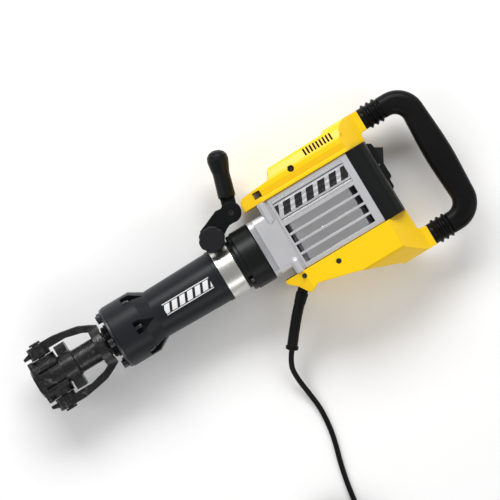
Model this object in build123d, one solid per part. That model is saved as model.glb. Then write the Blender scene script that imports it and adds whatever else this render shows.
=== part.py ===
from build123d import *
import math
import os

# Electric demolition hammer for 28 mm hexagon chisels, lying on its left side.
# All pieces are drawn in the tool frame: X runs along the striking axis to the rear handle, Y to the
# side that carries the auxiliary handle, Z out of the right-hand side, origin on the axis at the band.
# At the end every piece is moved to the row frame, whose origin is the foot of the bounding box.

# ---------------------------------------------------------------- driving sizes, mm
# overall places
HALF_WIDTH = 65.0            # half width over the covers, so also the height of the axis when lying down
WALL = 3.5                   # wall of the plastic covers and the end cap
CAST_WALL = 5.0              # wall of the aluminium castings
RUN = 0.05                   # radial play of a running fit
PLAY = 0.3                   # gap between neighbours that only lie side by side
SLIP = 0.5                   # gap round parts that swing or roll in the open

# tool end
NOSE_X = -366.0              # front of the tool holder
HEX_AF = 28.4                # across flats of the chisel socket
HEX_DEPTH = 150.0
TUBE_R = 20.75               # nose tube
PIVOT_X = -337.0             # retainer pin
KNUCKLE_R = 20.5
KNUCKLE_IN = 16.5
KNUCKLE_OUT = 35.5
RETAINER_PIN_R = 6.0
ARM_IN = 43.0                # retainer arms, distance from the axis
ARM_OUT = 57.5
ARM_HALF_DEPTH = 10.0
SADDLE_X = -250.0            # cross band of the retainer
SADDLE_WIDTH = 16.5
SADDLE_R = 25.5
SADDLE_THICK = 10.0

# barrel
FLANGE_X = -219.0            # front of the bolted front plate
PLATE_THICK = 5.0
FLANGE_R = 55.0
FLANGE_END_X = -162.0
TAPER_END_X = -140.0
BARREL_FRONT_R = 42.0
BARREL_REAR_R = 44.3
RIM_X = -22.0
RIM_R = 45.4
BAND_X = -14.5               # steel band of the side handle
BAND_WIDTH = 30.0
BAND_R = 45.5
BAND_THICK = 2.2
BOLT_CIRCLE_R = 48.0
BOLT_COUNT = 6
BOLT_TURN = -3.7             # first bolt, degrees from the right-hand side
BOLT_R = 4.0
BOLT_HEAD_AF = 12.0
BOLT_HEAD = 8.5
POCKET_X = -178.5
POCKET_LENGTH = 34.0
POCKET_WIDTH = 22.0
POCKET_FLOOR_R = 43.0

# striking mechanism
HOLDER_FLANGE_R = 36.0
HOLDER_END_X = -190.0
BUSH_R = 30.0
BUSH_END_X = -110.0
BEAT_R = 13.0
BEAT_COLLAR_R = 19.0
BEAT_COLLAR_X = -150.0
BEAT_COLLAR = 22.0
BEAT_TAIL_R = 12.0
BEAT_END_X = -88.0
DAMPER = 10.0
BORE_R = 22.0                # cylinder bore
SLEEVE_R = 27.0
SLEEVE_END_X = 66.0
STRIKER_X = -60.0
STRIKER_LENGTH = 45.0
PISTON_X = 0.0
PISTON_LENGTH = 40.0
WRIST_PIN_X = 30.0
WRIST_PIN_R = 6.0
CRANK_RADIUS = 13.0
CRANK_PIN_R = 7.0
ROD_HALF_THICK = 8.0

# gear train and motor, shafts along Y
MOTOR_X = 178.0
PINION_TEETH = 12
IDLER_TEETH = 55
FINE_MODULE = 1.25
IDLER_PINION_TEETH = 12
CRANK_TEETH = 28
COARSE_MODULE = 2.0
CRANK_GEAR_Y = 14.0
CRANK_GEAR_FACE = 12.0
BRIDGE_Y = 28.0
BRIDGE_THICK = 12.0
IDLER_Y = 43.0
IDLER_FACE = 9.0
STATOR_R = 46.0
STATOR_LENGTH = 40.0
ROTOR_R = 26.0
AIR_GAP = 0.6
FAN_R = 27.0
SHAFT_R = 6.0

# castings
NECK_X = 20.5
NECK_R = 51.5
CASE_X = 62.0                # front face of the gear case
CASE_HALF = 50.0
CASE_FLANGE_X = 92.0
PANEL_X = 110.0              # joint between gear case and motor housing
HOUSING_END_X = 258.0
HOUSING_TOP = 67.0
HOUSING_FOOT = -62.0
HOUSING_HALF = 62.0
LINER_R = 170.0
SLOT_X = 114.0
SLOT_LENGTH = 130.0
SLOT_HEIGHT = 14.0
SLOT_PITCH = 18.0
SLOT_TOP = 1.0 + SLOT_HEIGHT
SLOT_COUNT = 4
CAP_END_X = 297.0            # rear end cap

# side handle
KNOB_X = 2.0
KNOB_Y = 57.0
KNOB_R = 23.0
KNOB_Z = 33.0
KNOB_THICK = 20.0
KNUCKLE_X = 51.0
KNUCKLE_Y = 80.0
GRIP_LEAN = 16.8             # degrees, rearwards
GRIP_R = 14.5
GRIP_LENGTH = 88.0
GRIP_END_R = 17.8
EAR_R = 17.5
EAR_IN = 8.3
EAR_OUT = 14.0

# rear handle
LEG_TOP_Y = 100.0
LEG_FOOT_Y = -120.0
LEG_R = 18.0
LEG_X = 350.0
HANDLE_X = 417.0
BELLOWS_X = 311.0
ROD_R = 6.0
BUSH_X = 290.0
BUSH_LENGTH = 19.0
COVER_END_X = 311.0

# switch
ROCKER_X = 299.0
ROCKER_Y = 22.0
ROCKER_PIN_R = 1.5
ROCKER_HALF = 14.5

# cord
CORD_D = 9.0
CORD_POINTS = [(22, -164, -24), (5.68, -184.85, -33.07), (4, -212, -46), (8, -243, -56), (12, -278, -60.5),
               (7, -325, -60.5), (-9, -377, -60.5), (-19, -430, -60.5), (-21.5, -463, -60.5)]
SLEEVE_POINTS = [(90, -87, 0), (60, -117, -6), (40, -141, -14), (22, -164, -24)]
SLEEVE_TIP_R = 8.8
COIL_CENTRE = (-83.0, -493.0)
COIL_MID_R = 52.5
COIL_COLUMNS = 3
COIL_LAYERS = 4
PLUG_SET_IN = 6.0
PLUG_LENGTH = 34.0
PLUG_WIDTH = 34.0
PLUG_HEIGHT = 20.0
PLUG_CORNER_R = 7.0
PLUG_RELIEF_LENGTH = 24.0
PLUG_RELIEF_R = 5.5
PLUG_PIN_R = 2.4
PLUG_PIN_LENGTH = 20.0
PLUG_PIN_PITCH = 19.0

FLOOR_Z = -HALF_WIDTH


# ---------------------------------------------------------------- small tools
def polygon(points):
    """Face inside a closed outline of straight runs."""
    return make_face(Polyline(*points, close=True))


def turned(points):
    """Solid of revolution about the tool axis from (x, radius) points."""
    return revolve(polygon(points), axis=Axis.X)


def along_x(face, x0, x1):
    """Prism along X of a face drawn as (y, z)."""
    plane = Plane(origin=(x0, 0, 0), x_dir=(0, 1, 0), z_dir=(1, 0, 0))
    return extrude(plane * face, x1 - x0)


def along_y(face, y0, y1):
    """Prism along Y of a face drawn as (x, z)."""
    return Pos(0, y1, 0) * (Rot(90, 0, 0) * extrude(face, y1 - y0))


def along_z(face, z0, z1):
    """Prism along Z of a face drawn as (x, y)."""
    return Pos(0, 0, z0) * extrude(face, z1 - z0)


def rod_x(x0, x1, r, y=0.0, z=0.0):
    return along_x(Pos(y, z) * Circle(r), x0, x1)


def rod_y(y0, y1, r, x=0.0, z=0.0):
    return along_y(Pos(x, z) * Circle(r), y0, y1)


def rod_z(z0, z1, r, x=0.0, y=0.0):
    return along_z(Pos(x, y) * Circle(r), z0, z1)


def hex_x(x0, x1, across_flats, y=0.0, z=0.0):
    """Hexagon prism along X."""
    return along_x(Pos(y, z) * RegularPolygon(across_flats / 2, 6, major_radius=False), x0, x1)


def box(x0, x1, y0, y1, z0, z1):
    """Block between two corners."""
    return Pos((x0 + x1) / 2, (y0 + y1) / 2, (z0 + z1) / 2) * Box(x1 - x0, y1 - y0, z1 - z0)


def ring_y(y0, y1, r_in, r_out, x=0.0, z=0.0):
    return rod_y(y0, y1, r_out, x, z) - rod_y(y0, y1, r_in, x, z)


def both_sides(shape):
    """The shape and its mirror image on the other side of the tool."""
    return [shape, mirror(shape, about=Plane.XY)]


def rounded_rect(width, height, r):
    return RectangleRounded(width, height, r)


# ---------------------------------------------------------------- tool end
def tool_holder():
    """Forged nose: front plate, pin knuckles, cross block, tube and the flange held in the barrel."""
    front = turned([(NOSE_X, 0), (NOSE_X, 24), (NOSE_X + 6, 33), (PIVOT_X + 20, 30), (PIVOT_X + 24, 0)])
    front = front & box(NOSE_X, PIVOT_X + 24, -KNUCKLE_OUT, KNUCKLE_OUT, -22, 22)
    plate_face = RectangleRounded(2 * KNUCKLE_OUT + 3, 40, 9)
    plate = along_x(plate_face, NOSE_X + 3, NOSE_X + 10)
    body = front + plate + box(NOSE_X + 9, PIVOT_X, -KNUCKLE_OUT, KNUCKLE_OUT, -13, 13)
    for side in (-1, 1):
        near, far = sorted((side * KNUCKLE_IN, side * KNUCKLE_OUT))
        body += rod_y(near, far, KNUCKLE_R, PIVOT_X)
        inner, outer = sorted((side * 12, side * 16))
        for low, high in ((14, 60), (-60, -14)):
            body -= box(NOSE_X + 12, PIVOT_X + 24, inner, outer, low, high)
    block = box(PIVOT_X + 25, PIVOT_X + 43, -40, 40, -17, 17)
    block = chamfer(block.edges().filter_by(Axis.X), 4)
    body += block
    body += turned([(PIVOT_X, 0), (PIVOT_X, 24), (PIVOT_X + 44, 24), (PIVOT_X + 47, TUBE_R),
                    (HOLDER_END_X - 20, TUBE_R), (HOLDER_END_X - 15, HOLDER_FLANGE_R),
                    (HOLDER_END_X, HOLDER_FLANGE_R), (HOLDER_END_X, 0)])
    body -= hex_x(NOSE_X - 1, NOSE_X + HEX_DEPTH, HEX_AF)
    body -= rod_x(NOSE_X + HEX_DEPTH - 1, HOLDER_END_X + 1, BEAT_R + RUN)
    mouth = HEX_AF / 2
    body -= turned([(NOSE_X - 1, 0), (NOSE_X - 1, mouth + 5), (NOSE_X + 4, mouth), (NOSE_X + 4, 0)])
    pin_hole = rod_y(-60, 60, RETAINER_PIN_R + RUN, PIVOT_X)
    # the pin is in two halves, so that the chisel socket stays clear
    return body - pin_hole


def retainer_pins():
    """Two pivot pins, one each side, with round heads outside the retainer arms."""
    pins = []
    for side in (-1, 1):
        near = side * (KNUCKLE_IN + 0.5)
        far = side * (ARM_OUT + 1)
        pin = rod_y(min(near, far), max(near, far), RETAINER_PIN_R, PIVOT_X)
        head = side * (ARM_OUT + 4.5)
        start = side * (ARM_OUT + 1)
        pin += rod_y(min(start, head), max(start, head), RETAINER_PIN_R + 4, PIVOT_X)
        pins.append(pin)
    return pins


def retainer_bail():
    """U-shaped tool retainer: two bowed arms joined by a saddle that lies over the nose tube."""
    end = SADDLE_X + SADDLE_WIDTH
    body = None
    for side in (-1, 1):
        outline = [(PIVOT_X - 12, ARM_IN), (PIVOT_X - 12, ARM_OUT - 1.5), (PIVOT_X + 8, ARM_OUT + 0.5),
                   (-305, ARM_OUT), (-288, ARM_OUT - 2.5), (-262, 50), (SADDLE_X + 5, 42), (end, 35.5),
                   (end, 24), (SADDLE_X, 24), (SADDLE_X, 31), (SADDLE_X - 10, 36), (-288, ARM_IN)]
        arm = along_z(polygon([(x, side * y) for x, y in outline]), -ARM_HALF_DEPTH, ARM_HALF_DEPTH)
        boss_in = side * (KNUCKLE_OUT + 0.7)
        boss = rod_y(min(boss_in, side * ARM_OUT), max(boss_in, side * ARM_OUT), 17.5, PIVOT_X)
        tab_outline = [(NOSE_X + 1, 42), (NOSE_X + 1, 47), (PIVOT_X - 10, 53), (PIVOT_X - 10, 42)]
        tab = along_z(polygon([(x, side * y) for x, y in tab_outline]), -6, 6)
        arm = arm + boss + tab
        body = arm if body is None else body + arm
    saddle = rod_x(SADDLE_X, end, SADDLE_R + SADDLE_THICK) & box(SADDLE_X, end, -60, 60, -4, 60)
    body += saddle
    body -= rod_x(SADDLE_X - 30, end + 1, SADDLE_R) & box(SADDLE_X - 30, end + 1, -60, 60, -30, 60)
    body -= box(SADDLE_X - 30, end + 1, -SADDLE_R, SADDLE_R, -30, 0)
    return body - rod_y(-80, 80, RETAINER_PIN_R + RUN, PIVOT_X)


def nose_ring():
    """Ribbed rubber dust ring between the nose tube and the front plate."""
    x1 = FLANGE_X - PLAY
    x0 = x1 - 12.5
    outline = [(x0, TUBE_R), (x0, 25), (x0 + 1.5, 27.5), (x0 + 4, 27.5), (x0 + 5, 25.5), (x0 + 6.5, 29),
               (x0 + 9, 29), (x0 + 10, 27), (x1, 30.5), (x1, TUBE_R)]
    return turned(outline)


# ---------------------------------------------------------------- barrel
def bolt_places():
    """(y, z) of each flange bolt."""
    places = []
    for i in range(BOLT_COUNT):
        a = math.radians(BOLT_TURN + i * 360 / BOLT_COUNT)
        places.append((BOLT_CIRCLE_R * math.sin(a), BOLT_CIRCLE_R * math.cos(a)))
    return places


def front_plate():
    """Steel ring that holds the tool holder in the barrel."""
    x1 = FLANGE_X + PLATE_THICK
    plate = turned([(FLANGE_X, TUBE_R + PLAY), (FLANGE_X, FLANGE_R - 3), (FLANGE_X + 2, FLANGE_R - 1),
                    (x1, FLANGE_R - 1), (x1, TUBE_R + PLAY)])
    for y, z in bolt_places():
        plate -= rod_x(FLANGE_X - 1, x1 + 1, BOLT_R + PLAY, y, z)
    return plate


def pocket_cutter():
    """Pointed nut pocket on the right-hand side, before it is turned to its bolt."""
    half = POCKET_WIDTH / 2
    x0 = POCKET_X
    outline = [(x0, -half), (x0 + 9, -half), (x0 + POCKET_LENGTH, -1), (x0 + POCKET_LENGTH, 1),
               (x0 + 9, half), (x0, half)]
    return along_z(polygon(outline), POCKET_FLOOR_R, FLANGE_R + 10)


def barrel_housing():
    """Cast barrel: bolted flange, taper, long body, band seat and the spigot into the gear case."""
    x0 = FLANGE_X + PLATE_THICK
    seat_r = BAND_R - BAND_THICK - PLAY
    bore_step = BUSH_END_X + DAMPER
    outer = [(x0, FLANGE_R - 1.5), (x0 + 1.5, FLANGE_R), (FLANGE_END_X, FLANGE_R),
             (TAPER_END_X, BARREL_FRONT_R), (RIM_X, BARREL_REAR_R), (RIM_X, RIM_R), (BAND_X - PLAY, RIM_R),
             (BAND_X - PLAY, seat_r), (NECK_X, seat_r), (NECK_X, seat_r - 4), (CASE_X + 4, seat_r - 4)]
    inner = [(CASE_X + 4, SLEEVE_R), (bore_step, SLEEVE_R), (bore_step, BUSH_R), (HOLDER_END_X, BUSH_R),
             (HOLDER_END_X, HOLDER_FLANGE_R), (x0, HOLDER_FLANGE_R)]
    body = turned(outer + inner)
    for i, (y, z) in enumerate(bolt_places()):
        turn = BOLT_TURN + i * 360 / BOLT_COUNT
        body -= Rot(-turn, 0, 0) * pocket_cutter()
        body -= rod_x(x0 - 1, POCKET_X + 1, BOLT_R + PLAY, y, z)
    return body


def flange_bolts():
    """Hexagon bolts through the front plate, with nuts in the pockets."""
    bolts = []
    for y, z in bolt_places():
        bolt = hex_x(FLANGE_X - BOLT_HEAD, FLANGE_X, BOLT_HEAD_AF, y, z)
        bolt += rod_x(FLANGE_X - 1.2, FLANGE_X, BOLT_HEAD_AF / 2 + 1.4, y, z)
        bolt += rod_x(FLANGE_X - 1, POCKET_X + 12, BOLT_R, y, z)
        nut = hex_x(POCKET_X + 0.2, POCKET_X + 8.2, 8.6, y, z)
        bolts.append(bolt + nut)
    return bolts


# ---------------------------------------------------------------- striking mechanism
def beat_piece_bush():
    """Bronze bush that guides the beat piece and holds its collar."""
    x0, x1 = HOLDER_END_X, BUSH_END_X
    chamber0 = BEAT_COLLAR_X - 2
    chamber1 = BEAT_COLLAR_X + BEAT_COLLAR + 8
    outline = [(x0, BEAT_R + RUN), (x0, BUSH_R), (x1, BUSH_R), (x1, BEAT_TAIL_R + RUN),
               (chamber1, BEAT_TAIL_R + RUN), (chamber1, BEAT_COLLAR_R + RUN),
               (chamber0, BEAT_COLLAR_R + RUN), (chamber0, BEAT_R + RUN)]
    return turned(outline)


def beat_piece():
    """Hardened intermediate striker with its stop collar."""
    x0 = NOSE_X + HEX_DEPTH + 1
    x1 = BEAT_COLLAR_X + BEAT_COLLAR
    outline = [(x0, 0), (x0, BEAT_R - 2), (x0 + 2, BEAT_R), (BEAT_COLLAR_X, BEAT_R),
               (BEAT_COLLAR_X, BEAT_COLLAR_R), (x1, BEAT_COLLAR_R), (x1, BEAT_TAIL_R),
               (BEAT_END_X - 2, BEAT_TAIL_R), (BEAT_END_X, BEAT_TAIL_R - 2), (BEAT_END_X, 0)]
    return turned(outline)


def impact_damper():
    """Rubber ring between the bush and the cylinder."""
    x0, x1 = BUSH_END_X, BUSH_END_X + DAMPER
    return turned([(x0, BEAT_TAIL_R + 2), (x0, BUSH_R), (x1, BUSH_R), (x1, BEAT_TAIL_R + 2)])


def cylinder_sleeve():
    """Honed cylinder in which piston and striker run."""
    x0, x1 = BUSH_END_X + DAMPER, SLEEVE_END_X
    return turned([(x0, BORE_R), (x0, SLEEVE_R), (x1, SLEEVE_R), (x1, BORE_R)])


def seal_groove(x):
    return turned([(x, BORE_R - 3), (x, BORE_R + 1), (x + 3, BORE_R + 1), (x + 3, BORE_R - 3)])


def striker():
    """Free steel striker with a smaller nose and one seal groove."""
    r = BORE_R - RUN
    x0, x1 = STRIKER_X, STRIKER_X + STRIKER_LENGTH
    body = turned([(x0, 0), (x0, BEAT_TAIL_R), (x0 + 8, BEAT_TAIL_R + 3), (x0 + 8, r - 1), (x0 + 9, r),
                   (x1 - 1, r), (x1, r - 1), (x1, 0)])
    return body - seal_groove(x0 + 24)


def striker_seal():
    x = STRIKER_X + 24
    return turned([(x + 0.2, BORE_R - 3), (x + 0.2, BORE_R - RUN), (x + 2.8, BORE_R - RUN),
                   (x + 2.8, BORE_R - 3)])


def piston():
    """Cup-shaped piston, open to the rear for the connecting rod."""
    r = BORE_R - RUN
    x0, x1 = PISTON_X, PISTON_X + PISTON_LENGTH
    body = turned([(x0, 0), (x0, r - 1), (x0 + 1, r), (x1, r), (x1, 0)])
    body -= rod_x(x0 + 10, x1 + 1, 15)
    body -= rod_y(-30, 30, WRIST_PIN_R, WRIST_PIN_X)
    return body - seal_groove(x0 + 5)


def piston_seal():
    x = PISTON_X + 5
    return turned([(x + 0.2, BORE_R - 3), (x + 0.2, BORE_R - RUN), (x + 2.8, BORE_R - RUN),
                   (x + 2.8, BORE_R - 3)])


def wrist_pin():
    return rod_y(-BORE_R + 2, BORE_R - 2, WRIST_PIN_R, WRIST_PIN_X)


def crank_x():
    """Place of the crank shaft, from the motor shaft and the two gear pairs."""
    return idler_x() - COARSE_MODULE * (IDLER_PINION_TEETH + CRANK_TEETH) / 2


def idler_x():
    return MOTOR_X - FINE_MODULE * (PINION_TEETH + IDLER_TEETH) / 2


def crank_pin_x():
    return crank_x() - CRANK_RADIUS


def connecting_rod():
    """Rod from the wrist pin to the crank pin, at its front dead centre."""
    t = ROD_HALF_THICK
    big = crank_pin_x()
    outline = [(WRIST_PIN_X, 6.5), (big, 7.5), (big, -7.5), (WRIST_PIN_X, -6.5)]
    body = along_y(polygon(outline), -t + 1.5, t - 1.5)
    body += rod_y(-t, t, 10.5, WRIST_PIN_X) + rod_y(-t, t, 12, big)
    return body - rod_y(-20, 20, WRIST_PIN_R + RUN, WRIST_PIN_X) - rod_y(-20, 20, CRANK_PIN_R + RUN, big)


# ---------------------------------------------------------------- gears and motor
def gear(teeth, module, y0, y1, x, turn=0.0):
    """Spur gear with straight-sided teeth, slim enough for running backlash."""
    pitch_r = module * teeth / 2
    root_r = pitch_r - 1.25 * module
    tip_r = pitch_r + 0.85 * module
    step = 360 / teeth
    points = []
    for i in range(teeth):
        centre = turn + i * step
        for radius, share in ((root_r, -0.33), (tip_r, -0.12), (tip_r, 0.12), (root_r, 0.33)):
            a = math.radians(centre + share * step)
            points.append((x + radius * math.cos(a), radius * math.sin(a)))
    return along_y(polygon(points), y0, y1)


def crank_gear():
    """Crank wheel: gear, web, eccentric pin and stub shaft."""
    x = crank_x()
    y1 = CRANK_GEAR_Y + CRANK_GEAR_FACE
    # a gap faces the idler pinion, whose tooth points at it
    body = gear(CRANK_TEETH, COARSE_MODULE, CRANK_GEAR_Y, y1, x, 180 / CRANK_TEETH)
    body += rod_y(y1, BRIDGE_Y + BRIDGE_THICK + 2, 9, x)
    return body + rod_y(ROD_HALF_THICK + SLIP, CRANK_GEAR_Y, CRANK_PIN_R, crank_pin_x())


def crank_bearing():
    return ring_y(BRIDGE_Y, BRIDGE_Y + BRIDGE_THICK, 9 + RUN, 17, crank_x())


def idler_gear():
    """Intermediate shaft with the fine gear and the coarse pinion."""
    x = idler_x()
    y1 = CRANK_GEAR_Y + CRANK_GEAR_FACE
    body = gear(IDLER_PINION_TEETH, COARSE_MODULE, CRANK_GEAR_Y, y1, x, 0)
    body += gear(IDLER_TEETH, FINE_MODULE, IDLER_Y, IDLER_Y + IDLER_FACE, x, 180 / IDLER_TEETH)
    return body + rod_y(y1, IDLER_Y, SHAFT_R, x) + rod_y(IDLER_Y + IDLER_FACE, HOUSING_TOP - 5, SHAFT_R, x)


def idler_bearings():
    x = idler_x()
    return [ring_y(BRIDGE_Y, BRIDGE_Y + BRIDGE_THICK, SHAFT_R + RUN, 11, x),
            ring_y(IDLER_Y + IDLER_FACE + 1, HOUSING_TOP - 6, SHAFT_R + RUN, 11, x)]


def bearing_bridge():
    """Plate across the gear case that carries the crank, idler and motor bearings."""
    x0, x1 = crank_x() - 26, MOTOR_X + 18
    plate = box(x0, x1, BRIDGE_Y, BRIDGE_Y + BRIDGE_THICK, -24, 24)
    plate = fillet(plate.edges().filter_by(Axis.Y), 8)
    for x, r in ((crank_x(), 17), (idler_x(), 11), (MOTOR_X, 13)):
        plate -= rod_y(BRIDGE_Y - 1, BRIDGE_Y + BRIDGE_THICK + 1, r, x)
    for x, z in bridge_screw_places():
        plate -= rod_y(BRIDGE_Y - 1, BRIDGE_Y + BRIDGE_THICK + 1, 2.5, x, z)
    return plate


def bridge_screw_places():
    x0, x1 = crank_x() + 18, MOTOR_X - 18
    return [(x0, -19), (x0, 19), (x1, -19), (x1, 19)]


def bridge_screws():
    top = BRIDGE_Y + BRIDGE_THICK
    return [rod_y(BRIDGE_Y, top, 2.5, x, z) + rod_y(top, top + 2.5, 4.5, x, z)
            for x, z in bridge_screw_places()]


def motor_y():
    """Lower and upper end of the stator stack."""
    top = CRANK_GEAR_Y - 2
    return top - STATOR_LENGTH, top


def armature():
    """Motor shaft with the rotor stack and the drive pinion."""
    y0, y1 = motor_y()
    body = rod_y(HOUSING_FOOT + 8, IDLER_Y, SHAFT_R, MOTOR_X)
    body += gear(PINION_TEETH, FINE_MODULE, IDLER_Y, IDLER_Y + IDLER_FACE, MOTOR_X, 0)
    stack = rod_y(y0 + 3, y1 - 3, ROTOR_R, MOTOR_X)
    slot_r = ROTOR_R - 2
    for i in range(12):
        a = math.radians(i * 30)
        stack -= rod_y(y0 + 2, y1 - 2, 2.2, MOTOR_X + slot_r * math.cos(a), slot_r * math.sin(a))
    return body + stack


def armature_windings():
    """End turns of the winding on both ends of the rotor."""
    y0, y1 = motor_y()
    return [ring_y(y1 - 3, y1 + 6, SHAFT_R, ROTOR_R - 6, MOTOR_X),
            ring_y(y0 - 6, y0 + 3, SHAFT_R, ROTOR_R - 6, MOTOR_X)]


def commutator():
    y0 = motor_y()[0] - 19
    ring = ring_y(y0, y0 + 12, SHAFT_R, 14, MOTOR_X)
    for i in range(16):
        slit = Rot(0, i * 22.5, 0) * box(12.5, 15, y0 - 1, y0 + 14, -0.4, 0.4)
        ring -= Pos(MOTOR_X, 0, 0) * slit
    return ring


def field_stator():
    """Laminated field with two coils, round the rotor."""
    y0, y1 = motor_y()
    body = ring_y(y0, y1, ROTOR_R + AIR_GAP, STATOR_R, MOTOR_X)
    for z in (-1, 1):
        body -= box(MOTOR_X - 16, MOTOR_X + 16, y0 - 1, y1 + 1, min(z * 30, z * 37), max(z * 30, z * 37))
    return body


def field_coils():
    y0, y1 = motor_y()
    coils = []
    for z in (-1, 1):
        low, high = min(z * 30.3, z * 36.7), max(z * 30.3, z * 36.7)
        coils.append(box(MOTOR_X - 15.5, MOTOR_X + 15.5, y0 - 5, y1 + 5, low, high))
    return coils


def cooling_fan():
    """Radial fan between the stator and the bridge."""
    y0 = motor_y()[1] + 6.5
    y1 = BRIDGE_Y - 1
    body = ring_y(y0, y0 + 1.5, SHAFT_R, FAN_R, MOTOR_X)
    body += ring_y(y0, y1, SHAFT_R, 11, MOTOR_X)
    for i in range(11):
        blade = Rot(0, i * 360 / 11, 0) * box(10, FAN_R - 1, y0, y1, -0.9, 0.9)
        body += Pos(MOTOR_X, 0, 0) * blade
    return body


def motor_bearings():
    return [ring_y(BRIDGE_Y, BRIDGE_Y + BRIDGE_THICK, SHAFT_R + RUN, 13, MOTOR_X),
            ring_y(HOUSING_FOOT + 6, HOUSING_FOOT + 15, SHAFT_R + RUN, 11, MOTOR_X)]


def brush_holders():
    """Brass holders each side of the commutator."""
    y = motor_y()[0] - 13.5
    outer = box(MOTOR_X + 16, MOTOR_X + 46, y - 6, y + 6, -7, 7)
    outer -= box(MOTOR_X + 15, MOTOR_X + 44, y - 4, y + 4, -5, 5)
    return [outer, mirror(outer, about=Plane(origin=(MOTOR_X, 0, 0), z_dir=(1, 0, 0)))]


def carbon_brushes():
    y = motor_y()[0] - 13.5
    brush = box(MOTOR_X + 14.1, MOTOR_X + 32, y - 4, y + 4, -5, 5)
    return [brush, mirror(brush, about=Plane(origin=(MOTOR_X, 0, 0), z_dir=(1, 0, 0)))]


# ---------------------------------------------------------------- castings
def gear_case():
    """Aluminium gear case with a narrow front, rear flange and four screw bosses."""
    front = along_x(rounded_rect(2 * CASE_HALF, 90, 14), CASE_X, 72)
    body = front + along_x(rounded_rect(2 * CASE_HALF, 120, 10), 72, PANEL_X)
    mid_y = (HOUSING_TOP + HOUSING_FOOT) / 2
    tall = HOUSING_TOP - HOUSING_FOOT
    flange = along_x(Pos(mid_y, 0) * rounded_rect(tall, 2 * HOUSING_HALF - 4, 4), CASE_FLANGE_X, PANEL_X)
    body += flange
    cavity = along_x(rounded_rect(2 * (CASE_HALF - CAST_WALL), 80, 10), CASE_X + 6, 74)
    cavity += along_x(rounded_rect(2 * (CASE_HALF - CAST_WALL), 110, 8), 73.9, PANEL_X + 1)
    body -= cavity
    for side in (-1, 1):
        z = side * (HOUSING_HALF - 5)
        body += rod_y(36.5, HOUSING_TOP, 7.5, 100, z) + Pos(100, 36.5, z) * Sphere(7.5)
        body += rod_y(HOUSING_FOOT, -43, 7.5, 100, z) + Pos(100, -43, z) * Sphere(7.5)
    body -= cavity
    body -= rod_x(CASE_X - 1, CASE_X + 7, BAND_R - BAND_THICK - PLAY - 4)
    body -= bearing_bridge_room()
    return body - idler_room()


def idler_room():
    """Pocket in the rear flange for the fine gear."""
    tip = FINE_MODULE * (IDLER_TEETH / 2 + 1)
    return rod_y(IDLER_Y - 1, IDLER_Y + IDLER_FACE + 5, tip + 1.5, idler_x())


def bearing_bridge_room():
    return box(crank_x() - 26.3, 130, BRIDGE_Y - PLAY, BRIDGE_Y + BRIDGE_THICK + 4, -24.3, 24.3)


def slot_bottoms():
    return [SLOT_TOP - SLOT_HEIGHT - i * SLOT_PITCH for i in range(SLOT_COUNT)]


def motor_housing():
    """Cast motor housing with cooling slots and a plate recess on both sides."""
    mid_y = (HOUSING_TOP + HOUSING_FOOT) / 2
    tall = HOUSING_TOP - HOUSING_FOOT
    body = along_x(Pos(mid_y, 0) * rounded_rect(tall, 2 * HOUSING_HALF, 3), PANEL_X, HOUSING_END_X)
    inner = along_x(Pos(mid_y, 0) * rounded_rect(tall - 2 * CAST_WALL, 2 * (HOUSING_HALF - CAST_WALL), 3),
                    PANEL_X - 1, HOUSING_END_X + 1)
    body -= inner
    for low in slot_bottoms():
        for z0, z1 in ((HOUSING_HALF - 8, HOUSING_HALF + 1), (-HOUSING_HALF - 1, -HOUSING_HALF + 8)):
            body -= box(SLOT_X, SLOT_X + SLOT_LENGTH, low, low + SLOT_HEIGHT, z0, z1)
    for side in (-1, 1):
        z0, z1 = sorted((side * (HOUSING_HALF - 1.2), side * (HOUSING_HALF + 1)))
        body -= box(115, 246, 21, 60, z0, z1)
    body += lower_bearing_seat() + upper_bearing_seat()
    return body


def lower_bearing_seat():
    seat = rod_y(HOUSING_FOOT + CAST_WALL - 1, HOUSING_FOOT + 15, 15, MOTOR_X)
    return seat - rod_y(HOUSING_FOOT + 6, HOUSING_FOOT + 16, 11, MOTOR_X)


def upper_bearing_seat():
    seat = rod_y(IDLER_Y + IDLER_FACE + 1, HOUSING_TOP - CAST_WALL + 1, 14, idler_x())
    return seat - rod_y(IDLER_Y + IDLER_FACE, HOUSING_TOP - 5, 11, idler_x())


def motor_liners():
    """Two bowed polished shells between the slots and the motor."""
    top_z = HOUSING_HALF - CAST_WALL - PLAY - 1
    centre = (MOTOR_X, top_z - LINER_R)
    ring = Pos(*centre) * Circle(LINER_R) - Pos(*centre) * Circle(LINER_R - 2)
    foot = HOUSING_FOOT + CAST_WALL + 3
    shell = along_y(ring, foot, 20)
    shell = shell & box(SLOT_X + 1, SLOT_X + SLOT_LENGTH - 1, -100, 100, 0, 100)
    rib = box(158, 161, foot, -17, 50, top_z + 0.8)
    rib += box(165, 168, foot, -17, 50, top_z + 0.8)
    return both_sides(shell + rib)


def name_plates():
    """Blank framed plate with three raised bars in the recess of each side, and the barrel badge."""
    z = HOUSING_HALF - 1.2
    plate = box(115.5, 245.5, 21.5, 59.5, z, z + 1.6)
    plate -= box(118, 243, 25, 56, z + 1, z + 3)
    for i in range(3):
        plate += box(124, 237, 30 + i * 8.5, 34 + i * 8.5, z + 0.9, z + 1.7)
    return both_sides(plate) + [barrel_badge()]


def barrel_badge():
    """Blank curved badge on the barrel."""
    shell = turned([(-123, 42), (-123, BARREL_REAR_R - 0.6), (-35, BARREL_REAR_R + 0.7), (-35, 42)])
    shell = shell & box(-123, -35, -12.5, 9.5, 30, 60)
    cut = turned([(TAPER_END_X, 0), (TAPER_END_X, BARREL_FRONT_R), (RIM_X, BARREL_REAR_R), (RIM_X, 0)])
    return shell - cut


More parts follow.
